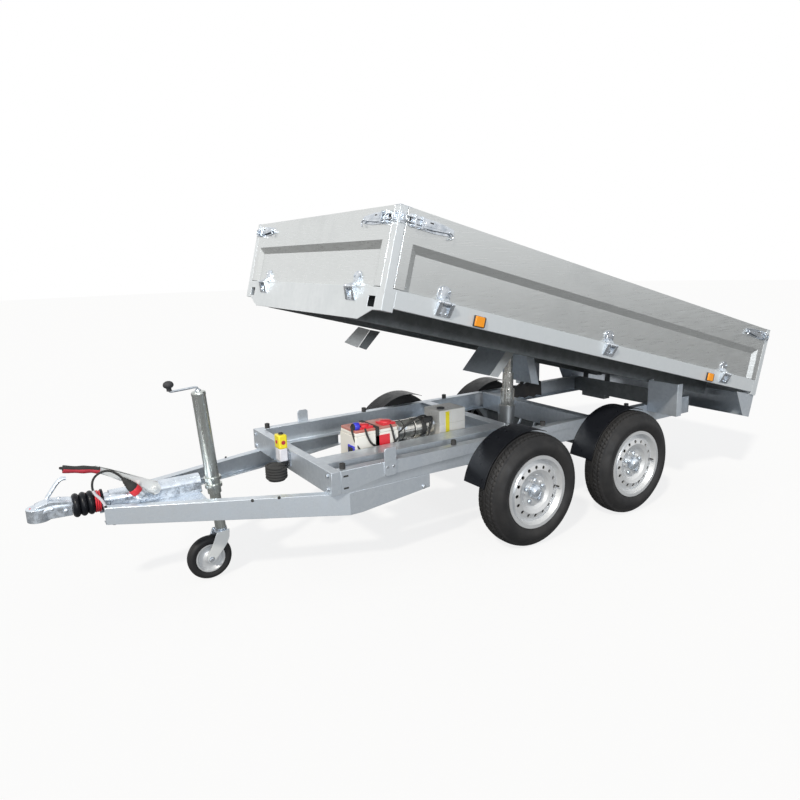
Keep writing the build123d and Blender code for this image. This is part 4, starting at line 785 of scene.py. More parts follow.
@dataclass
class RoadWheels:
    """Four road wheels: tyres with a treaded crown, and pressed steel rims.

    Attributes:
        width: The tyre's width at its widest.
        bead_r: Radius where the tyre meets the rim's flange.
        shoulder_r: Radius where the sidewall ends.
        rim_r: The rim's radius under the tyre.
        blocks: Tread blocks round each rib.
        groove: Depth of the tread's grooves.
    """

    width: float = 169.0
    bead_r: float = 184.0
    shoulder_r: float = 266.0
    rim_r: float = 169.0
    blocks: int = 68
    groove: float = 6.0

    def section(self) -> np.ndarray:
        """Half outline of the tyre as (across, radius), from one bead over the crown to the other.

        The sidewall is a half ellipse from bead to shoulder, the crown a flat arc between two shoulder arcs.
        """
        half = self.width / 2
        t = np.linspace(0, 1.0, 22)[:, None]
        side = np.concatenate([-half + 20 * (1 - np.sin(t * math.pi)) + 12 * t,
                               self.bead_r + (self.shoulder_r - self.bead_r) * t], axis=1)
        a = np.linspace(0.15, 0.95, 7)[:, None] * math.pi / 2
        start = side[-1]
        shoulder = np.concatenate([start[0] + 16 * (1 - np.cos(a)), start[1] + 13 * np.sin(a)], axis=1)
        edge = -shoulder[-1, 0]
        x = np.linspace(-edge, edge, 45)[1:-1, None]
        crown_height = TYRE_R - shoulder[-1, 1]
        crown = np.concatenate([x, TYRE_R - crown_height * (np.abs(x) / edge) ** 3], axis=1)
        rising = np.concatenate([side, shoulder])
        return np.concatenate([rising, crown, rising[::-1] * (-1, 1)])

    def tyre(self, name: str, centre: np.ndarray, side: float) -> None:
        """Makes one tyre. Radius = outline - groove * (groove mask across + slots between blocks)."""
        outline = self.section()
        steps = self.blocks * 8
        angle = np.linspace(0, 2 * math.pi, steps, endpoint=False)
        across, radius = outline[:, 0][:, None], outline[:, 1][:, None]
        crown = np.clip((radius - 272) / 6, 0, 1)
        ribs = np.zeros_like(across)
        for place in (-36, -12, 12, 36):
            ribs = np.maximum(ribs, np.exp(-((across - place) / 2.8) ** 4))
        phase = (angle[None] * self.blocks / (2 * math.pi) + across * 0.022 * np.sign(across)) % 1.0
        slots = np.where(phase < 0.16, 0.8, 0) * np.where(np.abs(across) > 14, 1.0, 0)
        depth = self.groove * crown * np.maximum(ribs, slots)
        rings = 0.6 * np.exp(-((radius - 232) / 2) ** 2) + 0.8 * np.exp(-((radius - 255) / 1.5) ** 2)
        bulge = np.where(np.abs(across) > 60, rings, 0) * np.sign(across)
        r = radius - depth
        points = np.stack([np.broadcast_to(centre[0], r.shape) + r * np.cos(angle)[None],
                           np.broadcast_to(centre[1] + side * (across + bulge), r.shape),
                           centre[2] + r * np.sin(angle)[None]], axis=-1)
        shell = Shell().grid(points, ring=True)
        inner = np.array([(-self.width / 2 + 22, self.bead_r), (-self.width / 2 + 23, self.rim_r),
                          (self.width / 2 - 23, self.rim_r), (self.width / 2 - 22, self.bead_r)])
        shell.revolve(inner, centre, np.array([0, side, 0]), steps)
        shell.build(f"tyre_tread_{name}", f"tyre_{name}", Finish.TYRE, smooth=40.0, whole=True)

    def build(self) -> None:
        """Makes the four wheels."""
        for axle, x in WHEEL_X.items():
            for side_name, side in SIDES.items():
                name = f"{axle}_{side_name}"
                self.tyre(name, np.array([x, side * WHEEL_Y, TYRE_R]), side)
                painted(f"rim_{name}", Finish.RIM)
                self.hub(name, facing((x, side * WHEEL_Y, TYRE_R), Y * side))
        LOG.info("wheels: 4 tyres and rims, 20 wheel bolts, 4 brake drums, 4 dust caps")

    def hub(self, name: str, site: Site) -> None:
        """Adds a wheel's five bolts, its near-black brake drum, which also paints the shade seen through the rim's
        holes, its ringed dust cap and its valve.
        """
        bolts = Shell()
        circle = 56
        for angle in np.arange(5) * 2 * math.pi / 5 + math.pi / 2:
            bolts.bolt(site.moved(circle * math.cos(angle), circle * math.sin(angle), 45), 8.2)
        bolts.build(f"wheel_bolts_{name}", f"rim_{name}", Finish.CASTING, "zinc")
        # The drum is near black: its dark cast, and painted shade behind the rim's holes.
        pan = [(0, 34), (0, 130), (4, 134), (22, 134), (27, 128), (28.5, 34), (0, 34)]
        Shell().turned(site, pan, 48).build(f"brake_drum_{name}", f"rim_{name}", Finish.DRUM, "galvanised")
        cap = Shell().turned(site, [(40, 0), (40, 34), (59, 34), (61, 32), (60, 28), (63, 25), (66.5, 22),
                                    (69, 14), (70, 0)], 40)
        cap.build(f"dust_cap_{name}", f"rim_{name}", Finish.CASTING, "zinc")
        valve = Shell().tube(site.path([(137, 0, 40), (139, 0, 62), (140, 0, 68)]), 4, 10)
        valve.build(f"valve_{name}", f"rim_{name}", Finish.RUBBER, "black_rubber")


@dataclass
class Chassis:
    """Rails, cross beams, drawbar and axles."""

    nodes: dict[str, Finish] = field(default_factory=lambda: {
        "rails": Finish.GALVANISED,
        "cross_beams": Finish.GALVANISED,
        "drawbar": Finish.GALVANISED,
        # The hinge blocks and axles take the dark galvanised copy: painted shade, with some dull, dirty zinc.
        "hinge_blocks": Finish.SHADED_GALVANISED,
        "ram_cradle": Finish.GALVANISED,
        "axles": Finish.SHADED_GALVANISED,
        "guard_plates": Finish.GALVANISED,
    })

    def build(self) -> None:
        """Dresses each steel piece with rounded folds."""
        for node, finish in self.nodes.items():
            dressed(node, finish)
        LOG.info("chassis: %d pieces", len(self.nodes))


@dataclass(frozen=True)
class BoardFace:
    """A drop board's outer face.

    Attributes:
        name: Which board.
        middle: Middle of its lower edge's line, as bed x, y.
        outward: The way it looks.
        length: The board's length.
        hinges: Where its hinges lie from the middle, along x = up cross outward.
        out: How far its hinges' axis stands off its face.
    """

    name: str
    middle: tuple[float, float]
    outward: np.ndarray
    length: float
    hinges: tuple[float, ...]
    out: float

    def site(self, along: float = 0.0, up: float = 0.0) -> Site:
        """A place on the face: x along it, y up, z outwards."""
        place = Site(on_bed(self.middle[0], self.middle[1], 0), np.cross(BED_UP, self.outward), BED_UP)
        return place.moved(along, up)


BOARD_FACES = (
    BoardFace("left", (-1355, BED_HALF), Y, 2634, (-1071, -47, 977), 16),
    BoardFace("right", (-1355, -BED_HALF), -Y, 2634, (1071, 47, -977), 16),
    BoardFace("front", (0, 0), BED_FORWARD, 1385, (-480, 480), 16),
    BoardFace("rear", (-BED_LENGTH, 0), -BED_FORWARD, 1385, (-480, 480), 22),
)


@dataclass
class Bed:
    """The tipping bed: folded frame, floor, underframe, boards and their fittings.

    Attributes:
        nodes: CAD nodes that keep their shape, with rounded folds.
        knuckle: A hinge knuckle's radius.
    """

    nodes: dict[str, Finish] = field(default_factory=lambda: {
        "side_skirts": Finish.SKIRT,
        "end_skirts": Finish.SKIRT,
        "corner_posts": Finish.SKIRT,
        "bed_floor": Finish.FLOOR,
        # The beams, cross beams and hinge ears under the bed take the dark galvanised copy: painted shade, with some
        # dull, dirty zinc.
        "bed_beams": Finish.SHADED_GALVANISED,
        "bed_cross_beams": Finish.SHADED_GALVANISED,
        "hinge_ears": Finish.SHADED_GALVANISED,
        "ram_brackets": Finish.GALVANISED,
        "light_bar": Finish.GALVANISED,
        "board_left": Finish.BOARD,
        "board_right": Finish.BOARD,
        "board_front": Finish.BOARD,
        "board_rear": Finish.BOARD,
    })
    knuckle: float = 9.0

    def moving_leaves(self, shell: Shell, face: BoardFace) -> None:
        """Adds each hinge's half that swings with the board: a strap on the recess, an arm and its knuckle."""
        for along in face.hinges:
            place = face.site(along)
            section = Site(place.origin, face.outward, BED_UP)
            arm = [(-16, 91.5), (-16, 146), (-11, 146), (-10, 112), (face.out + 1, 91.5)]
            shell.plate(section, arm, -17, 17)
            strap = [(32 * math.cos(a), 132 + 20 * math.sin(a)) for a in np.linspace(0, math.pi, 12)]
            shell.plate(place, [(32, 96), *strap, (-32, 96)], -15.5, -12)
            for side in (1, -1):
                shell.bolt(place.moved(side * 24, 132, -12), 5.5)
            pin = Site(place.at(0, HINGE_UP, face.out), place.y, place.z)
            ring = [(-17, 4.5), (-17, self.knuckle), (17, self.knuckle), (17, 4.5), (-17, 4.5)]
            shell.turned(pin, ring, 20)

    def fixed_leaves(self, shell: Shell, face: BoardFace) -> None:
        """Adds each hinge's half on the skirt: two brackets with knuckles, a bolted plate and the pin."""
        for along in face.hinges:
            place = face.site(along)
            section = Site(place.origin, face.outward, BED_UP)
            for side in (1, -1):
                bracket = [(0, 30), (5, 30), (face.out + 6, 76), (face.out, HINGE_UP), (0, HINGE_UP)]
                shell.plate(section, bracket, *sorted((side * 19.5, side * 38)))
                pin = Site(place.at(side * 29, HINGE_UP, face.out), place.y, place.z)
                shell.turned(pin, [(-9.2, 0), (-9.2, 8), (-8.2, 9), (8.2, 9), (9.2, 8), (9.2, 0)], 20)
                shell.bolt(place.moved(side * 12, 40, 5), 5.5)
            shell.slab(place, (-37, 37), (30, 70), (0, 5))
            pin = Site(place.at(0, HINGE_UP, face.out), place.y, place.z)
            shell.turned(pin, [(-41, 0), (-41, 4), (41, 4), (41, 0)], 12)

    @staticmethod
    def latch(bright: Shell, dark: Shell, face: BoardFace, end: int) -> None:
        """Adds an over-centre latch: base plate, two ribs, the loop over the post's catch, and the tapered lever.

        Args:
            bright: Takes the zinc parts.
            dark: Takes the slots, thin black plates that paint the shade in their openings.
            face: The board's face.
            end: 1 or -1 for the board's end.
        """
        place = face.site()

        def at(inward: float, up: float) -> tuple[float, float]:
            return end * (face.length / 2 - 8 - inward), LATCH_UP + up

        def across(outline: Outline, low: float, high: float, shell: Shell = bright) -> None:
            shell.plate(place, [at(*point) for point in outline], low, high)

        across([(0, -18), (6, -24), (130, -24), (210, -15), (216, -9), (216, 9), (210, 15), (130, 24), (6, 24),
                (0, 18)], 0, 3)
        across(rect(12, 84, -20, 20), 3, 9)
        for rib in (20, 52):
            across(rect(rib, rib + 8, -23, 23), 3, 17)
        across([(62, -17), (110, -15), (188, -7), (200, -3), (200, 5), (110, 15), (62, 17)], 9, 14.5)
        across([(70, -8), (150, -4), (150, 4), (70, 8)], 14.5, 15.5)
        hook = [(*at(186 + 22 * math.sin(a), -3 - 14 * (1 - math.cos(a))), 12) for a in np.linspace(0, 2.6, 10)]
        bright.tube(place.path(hook), np.linspace(4.5, 3, 10), 8)
        loop = [(50, 10), (0, 10), (-14, 9), (-20, 4), (-20, -4), (-14, -9), (0, -10), (50, -10)]
        bright.tube(place.path([(*at(*point), 12) for point in loop]), 3, 8)
        for inward in (36, 120, 205):
            bright.turned(place.moved(*at(inward, 0), 3), [(0, 7), (3, 6), (4, 0)], 12)
        # Thin black plates for the slots: painted shade in the openings.
        across(rect(2, 10, -14, 14), 3, 3.4, dark)
        across(rect(90, 106, 4, 12), 14.5, 14.9, dark)

    def trim(self) -> None:
        """Adds the catches on the posts, the posts' caps, the lamps, and the front catch plates: pale plates of
        painted light on the catch and on the ram brackets' side walls, and a dark plate of painted shade beside the
        pale one under the bed's front.
        """
        catches, caps = Shell(), Shell()
        for face in BOARD_FACES:
            for end in (1, -1):
                place = face.site(end * (face.length / 2 + 21), LATCH_UP)
                catches.slab(place, (-10, 10), (-20, 20), (0, 3))
                catches.slab(place, (-3, 3), (-12, 12), (3, 9))
        catches.build("latch_catches", "bed_hinges", Finish.ZINC, bevel=0.6)
        for x, back, ahead in ((-POST_HALF, -34, 18.5), (POST_HALF - BED_LENGTH, -18.5, 34)):
            for side in (1, -1):
                site = Site(on_bed(x, side * (BED_HALF - POST_HALF), 0), BED_FORWARD, Y)
                caps.slab(site, (back, ahead), (-18.5, 18.5), (397.5, 400.3))
        caps.build("post_caps", "bed_hinges", Finish.ZINC, bevel=0.6)

        housings, lenses = Shell(), Shell()
        for side in (1, -1):
            for x in (-475, -2190):
                site = Site(on_bed(x, side * BED_HALF, 44), BED_FORWARD * side * -1, BED_UP)
                housings.slab(site, (-29, 29), (-23, 23), (0, 7))
                housings.slab(site, sorted((side * 20.5, side * 27.5)), (-20, 20), (7, 13.5))
                lenses.slab(site, sorted((-side * 27, side * 20.5)), (-21, 21), (7, 15.5))
        housings.build("marker_housings", "side_markers", Finish.PLASTIC, "black_plastic", bevel=1, whole=True)
        lenses.build("marker_lenses", "side_markers", Finish.AMBER, bevel=2)

        housing, red, amber, clear = Shell(), Shell(), Shell(), Shell()
        for side in (1, -1):
            site = Site(on_bed(-BED_LENGTH + 3, side * 600, -68), Y * -1, BED_UP)
            housing.slab(site, (-100, 100), (-48, 48), (0, 18))
            parts = ((red, -96, 20, -44, 44), (amber, 24, 96, 0, 44), (clear, 24, 96, -44, -4))
            for shell, near, far, low, high in parts:
                shell.slab(site, sorted((-side * near, -side * far)), (low, high), (18, 31.5))
        housing.build("rear_lamp_housings", "rear_lamps", Finish.PLASTIC, "black_plastic", bevel=3, whole=True)
        red.build("rear_lamp_red", "rear_lamps", Finish.RED_LENS, bevel=3)
        amber.build("rear_lamp_amber", "rear_lamps", Finish.AMBER, "amber_lens", bevel=3)
        clear.build("rear_lamp_clear", "rear_lamps", Finish.CLEAR_LENS, bevel=3)

        under = Site(on_bed(0, 0, 0), BED_FORWARD, BED_UP)
        # The pale plates are painted light, on the catch and on the ram brackets' side walls; the dark plate beside
        # the catch is painted shade.
        pale, shade_plate = Shell(), Shell()
        pale.plate(under, [(-329, -59), (-397, -62), (-345, -161), (-267, -147)], -2, 2)
        shade_plate.plate(under, [(-399, -62), (-457, -61), (-395, -164), (-350, -158)], -4, 0)
        flank, strip = Site(under.origin, -BED_FORWARD, BED_UP), [(1251, 40), (1128, -180), (1190, -180), (1313, 40)]
        for side in (1, -1):
            pale.plate(flank, strip, *sorted((side * 120.2, side * 122.2)))
        pale.build("bed_catch_light", "ram_brackets", Finish.STRAP, bevel=0.6)
        shade_plate.build("bed_catch_dark", "ram_brackets", Finish.SHADED_GALVANISED, bevel=0.8)

    def build(self) -> None:
        """Dresses each sheet piece and hangs its fittings on it."""
        for node, finish in self.nodes.items():
            dressed(node, finish, 1, 0)
        fixed = Shell()
        for face in BOARD_FACES:
            node = f"fittings_{face.name}"
            bright, dark = Shell(), Shell()
            self.moving_leaves(bright, face)
            for end in (1, -1):
                self.latch(bright, dark, face, end)
            bright.build(f"board_fittings_{face.name}", node, Finish.ZINC, bevel=0.7, whole=True)
            # The slots' black plates are painted shade.
            dark.build(f"latch_slots_{face.name}", node, Finish.RUBBER)
            self.fixed_leaves(fixed, face)
        fixed.build("fixed_hinge_leaves", "bed_hinges", Finish.ZINC, bevel=0.7, whole=True)
        self.trim()
        LOG.info("bed: %d sheet pieces, 10 hinges, 8 latches, 4 markers, 2 lamps", len(self.nodes))


@dataclass
class Coupling:
    """Overrun coupling: hood, bellows with its breakaway cable, handle, hand brake, plug and lead.

    Attributes:
        height: The coupling's axis above the ground.
        lead: Control points of the held lead.
        wire: Its radius.
        lever_y: The hand brake's middle.
    """

    height: float = 454.0
    lead: tuple[Point, ...] = (
        (1702, 88, 450.2), (1708, 88, 480), (1744, 82, 520), (1738, 78, 578),
        (1694, 80, 603), (1651, 80, 589.4), (1627.2, 80, 557.3),
    )
    wire: float = 4.5
    lever_y: float = 42.0

    def lever_line(self, *places: tuple[float, float]) -> np.ndarray:
        """A smooth line in the hand brake's middle plane, through places given as (x, z)."""
        return smooth_line([(x, self.lever_y, z) for x, z in places])

    def hood(self) -> None:
        """Presses a hood over the ball's socket: at each x an arch of half width w and height h.

        y = w cos a, z = foot + h sin(a)^0.7, which is flatter on top than a half ellipse.
        """
        x = np.array([1800, 1806, 1830, 1860, 1885, 1905, 1930, 1950, 1965, 1975, 1979])
        w = np.array([26, 33, 35.5, 36.5, 37.5, 39, 43.2, 41, 33, 21, 8])
        h = np.array([24, 30, 36, 40.5, 41.5, 36, 24, 21, 17, 11, 4])
        angle = np.linspace(0, math.pi, 25)
        foot = self.height + 6
        shape = np.stack([np.broadcast_to(x[:, None], (len(x), 25)), w[:, None] * np.cos(angle)[None],
                          foot + h[:, None] * np.sin(angle)[None] ** 0.7], axis=-1)
        floor = shape.copy()
        floor[:, :, 2] = foot
        hood = Shell().grid(np.concatenate([shape, floor[:, ::-1]], axis=1), ring=True)
        columns = shape.shape[1] * 2
        hood.faces.append(list(range(columns))[::-1])
        hood.faces.append([(len(x) - 1) * columns + i for i in range(columns)])
        for side in (1, -1):
            hood.bolt(facing((1842, side * 34, 452), Y * side), 9)
            hood.bolt(facing((1890, side * 34, 470), Y * side), 8)
        hood.turned(facing((1861, 0, 0), Z).moved(0, 0, 498.5), [(0, 9), (4, 8), (5, 0)], 16)
        hood.build("coupling_hood", "coupling_head", Finish.CASTING, smooth=50.0)
        dot = Shell().turned(facing((1962, 0, 476), Z), [(0, 6), (1.5, 5.5), (2, 0)], 16)
        dot.build("coupling_mark", "coupling_head", Finish.RED)

    def bellows(self) -> None:
        """Turns the three rolls, the wound neck and the flange, and winds the red cable on it."""
        along = np.linspace(0, 1.0, 61)
        rolls = np.stack([34 + 82 * along, 38 + 11.8 * np.abs(np.sin(along * 3 * math.pi)) ** 0.6], axis=1)
        profile = np.concatenate([[(0, 26.2), (0, 47), (7, 47), (9, 39.5), (34, 38.5)], rolls, [(116, 26.2)],
                                  [(0, 26.2)]])
        rubber = Shell().revolve(profile, np.array([1699, 0, self.height]), X, 56)
        rubber.build("bellows_rolls", "bellows", Finish.MUDGUARD, smooth=60.0, whole=True)
        turn = np.linspace(0, 2 * math.pi * 2.6, 120)
        coil = np.stack([1711.5 + 20.5 * turn / turn[-1], 42.5 * np.sin(turn),
                         self.height + 42.5 * np.cos(turn)], axis=1)
        cable = Shell().tube(coil, 3.4, 8)
        loop = np.array([(1731, -42.5, 458), (1745, -52, 476), (1762, -53, 485), (1786, -48, 480),
                         (1800, -40, 462)])
        cable.tube(smooth_line(loop), 2.8, 8)
        cable.build("breakaway_cable", "bellows", Finish.RED, "red_grip")

    def levers(self) -> None:
        """Makes the coupling's handle and the hand brake: channel arm, two-tone grip and button."""
        line = smooth_line([(1903, 0, 504.6), (1884, 0, 530), (1867, 0, 554), (1851, 0, 571), (1841, 0, 578),
                            (1825, 0, 576)])
        handle = Shell().band(line, X + Z, 16, 9)
        handle.tube(line + Y * 7.5, 6.2, 10).tube(line - Y * 7.5, 6.2, 10)
        handle.build("handle_pressing", "coupling_handle", Finish.CASTING, "zinc", smooth=50.0, whole=True)
        arm = Shell()
        side = Site(np.array([0, 47, 0]), X, Z)
        web = [(1472, 470), (1484, 450), (1505, 446), (1530, 468), (1640, 548), (1722, 594), (1716, 616),
               (1632, 580), (1520, 514), (1484, 500)]
        arm.plate(side, web, 0, 3)
        top = self.lever_line((1484, 500), (1520, 514), (1632, 580), (1716, 616))
        low = self.lever_line((1505, 448), (1530, 468), (1640, 548), (1722, 595))
        arm.band(top, Z, 10, 2.8).band(low, Z, 10, 2.8)
        arm.bolt(facing((1500, 47.1, 474), Y), 11)
        arm.bolt(facing((1560, 47.1, 514), Y), 6)
        arm.build("brake_arm", "brake_lever", Finish.STRAP, "casting", whole=True)
        line = self.lever_line((1704, 597), (1722, 605), (1760, 612), (1800, 619), (1834, 628))
        sizes = 11.8 + 1.2 * np.cos(np.linspace(0, 4 * math.pi, len(line)))
        Shell().tube(line - Z * 5, sizes, 16).build("brake_grip_red", "brake_lever", Finish.GRIP, smooth=60.0)
        button = np.array([(x, self.lever_y, z) for x, z in ((1834, 630), (1841, 632), (1846, 633))])
        black = Shell().tube(line + Z * 3, sizes * 0.9, 16).tube(button, np.array([6, 6, 4]), 12)
        black.build("brake_grip_black", "brake_lever", Finish.RUBBER, smooth=60.0)

    def plug(self) -> None:
        """Makes the plug with its boot and red cap, and the lead between it and the drawbar."""
        along = np.array([0.595, 0, 0.804]) / math.hypot(0.595, 0.804)
        site = Site(np.array([1573, 80, 484]), Y, np.cross(along, Y))
        if np.dot(site.z, along) < 0:
            site = Site(site.origin, -site.x, site.y)
        boot = [(26, 0), (26, 21), (34, 21.5), (50, 18.5), (54, 15.5), (60, 16.5), (66, 12.5), (71, 13.5),
                (77, 9.5), (88, 7.2), (88.5, 4.6), (88.5, 0)]
        Shell().turned(site, boot, 28).build("plug_boot", "plug", Finish.RUBBER, smooth=50.0, whole=True)
        cap = [(0.5, 0), (0.5, 23.2), (4, 24.6), (20, 24.6), (27, 22.5), (27, 0)]
        Shell().turned(site, cap, 32).build("plug_cap", "plug", Finish.RED, smooth=50.0)
        data = nurbs("plug_lead_line", self.lead, 3, MM)
        data.bevel_depth = self.wire * MM
        data.use_fill_caps = True
        data.materials.append(Finish.RUBBER.material())
        placed(bpy.data.objects.new("plug_lead_line", data), "plug_lead")
        line = smooth_line(self.lead, order=3)
        sheath = Shell().tube(line[2: len(line) // 3], self.wire + 1.4, 12)
        sheath.build("lead_sheath", "plug_lead", Finish.WHITE, "black_rubber")

    def build(self) -> None:
        """Makes the whole front end."""
        dressed("coupling_head", Finish.CASTING, 1)
        dressed("coupling_housing", Finish.CASTING, 1)
        self.hood()
        self.bellows()
        self.levers()
        self.plug()
        LOG.info("coupling: hood, bellows, two levers, plug and lead")


@dataclass
class JockeyWheel:
    """The prop at the drawbar: tube with crank, leg, fork and wheel.

    Attributes:
        lean: How far the tube leans forward at its top, in radians.
        foot: The tube's lower end.
        axle: The wheel's centre.
    """

    lean: float = math.radians(4.0)
    foot: Point = (1245, 40, 400)
    axle: Point = (1295.1, 40, 100)

    def build(self) -> None:
        """Makes it from the knob down."""
        forward = np.array([math.cos(self.lean), 0, -math.sin(self.lean)])
        site = Site(np.array(self.foot), forward, Y)
        tube = Shell().turned(site, [(455, 0), (455, 25.2), (0, 25.2), (0, 30), (450, 30), (452, 31.2),
                                     (462, 31.2), (467, 29), (470, 22), (471, 0)], 40)
        for low, high in ((28, 42), (62, 76)):
            tube.turned(site, [(low, 30), (low, 38), (high, 38), (high, 30), (low, 30)], 32)
        tube.build("jockey_outer_tube", "jockey_tube", Finish.TUBE, whole=True)
        rod = smooth_line(site.path([(0, 0, 468), (0, 0, 482), (2, 0, 488.5), (20, 0, 488.5), (80, 0, 488.5),
                                     (110, 0, 488.5), (118, 0, 490), (118, 0, 500)]))
        crank = Shell().tube(rod, 5.2, 12).turned(site, [(470, 13), (476, 12), (480, 8), (480, 0)], 20)
        clamp = site.moved(0, 0, 52)
        crank.tube(clamp.path([(0, -36, 0), (0, -70, 0)]), 6, 10)
        crank.tube(clamp.path([(-34, -68, 0), (34, -68, 0)]), 4.5, 10)
        crank.build("jockey_crank", "jockey_tube", Finish.ZINC, smooth=50.0)
        knob = [(493, 0), (493, 10.5), (505, 10.5), (509, 17), (514, 21.5), (522, 22), (530, 18.5), (535, 10),
                (537, 0)]
        ball = Shell().turned(site.moved(118, 0, 0), knob, 28)
        ball.build("jockey_knob", "jockey_tube", Finish.PLASTIC, smooth=50.0)
        dressed("jockey_leg", Finish.TUBE, 0.5)
        dressed("jockey_fork", Finish.CASTING, 0.8)
        strap = [(1204, 221), (1262, 221), (1270, 204), (1281, 176), (1296, 148), (1309, 122), (1312.5, 106),
                 (1309, 92), (1300, 84), (1288, 84), (1277, 92), (1258, 115), (1238, 136), (1219, 160),
                 (1207, 188)]
        plates = Shell()
        for low, high in ((74.2, 77.2), (2.8, 5.8)):
            plates.plate(Site(np.zeros(3), Z, X), [(z, x) for x, z in strap], low, high)
        plates.build("jockey_fork_straps", "jockey_fork", Finish.STRAP, "galvanised", bevel=1)
        axle = facing(self.axle, Y)
        tread = [(1.5, 100), (9, 99.7), (10.5, 97.5), (12, 99), (18, 96.5), (23.5, 91), (25, 83), (23.5, 76),
                 (21.5, 66.2)]
        tyre = [*((-along, radius) for along, radius in tread[::-1]), (0, 98.5), *tread, (-21.5, 66.2)]
        rubber = Shell().turned(axle, tyre, 72)
        rubber.build("jockey_ribbed_tyre", "jockey_tyre", Finish.TYRE, smooth=40.0, whole=True)
        half = [(19.5, 66.1), (21.5, 65.5), (21.5, 60), (17, 56), (9, 50), (7, 36), (10, 28), (19.5, 22),
                (21, 16), (21, 8.15)]
        dish = half + [(-along, radius) for along, radius in half[::-1]] + [half[0]]
        rim = Shell().turned(axle, dish, 56)
        rim.build("jockey_dished_rim", "jockey_rim", Finish.RIM, smooth=30.0, whole=True)
        nuts = Shell()
        for side in (1, -1):
            nuts.bolt(facing(self.axle, Y * side).moved(0, 0, 37), 9.5)
        nuts.build("jockey_axle_nuts", "jockey_fork", Finish.ZINC)
        LOG.info("jockey wheel: tube, crank, knob, fork and wheel")


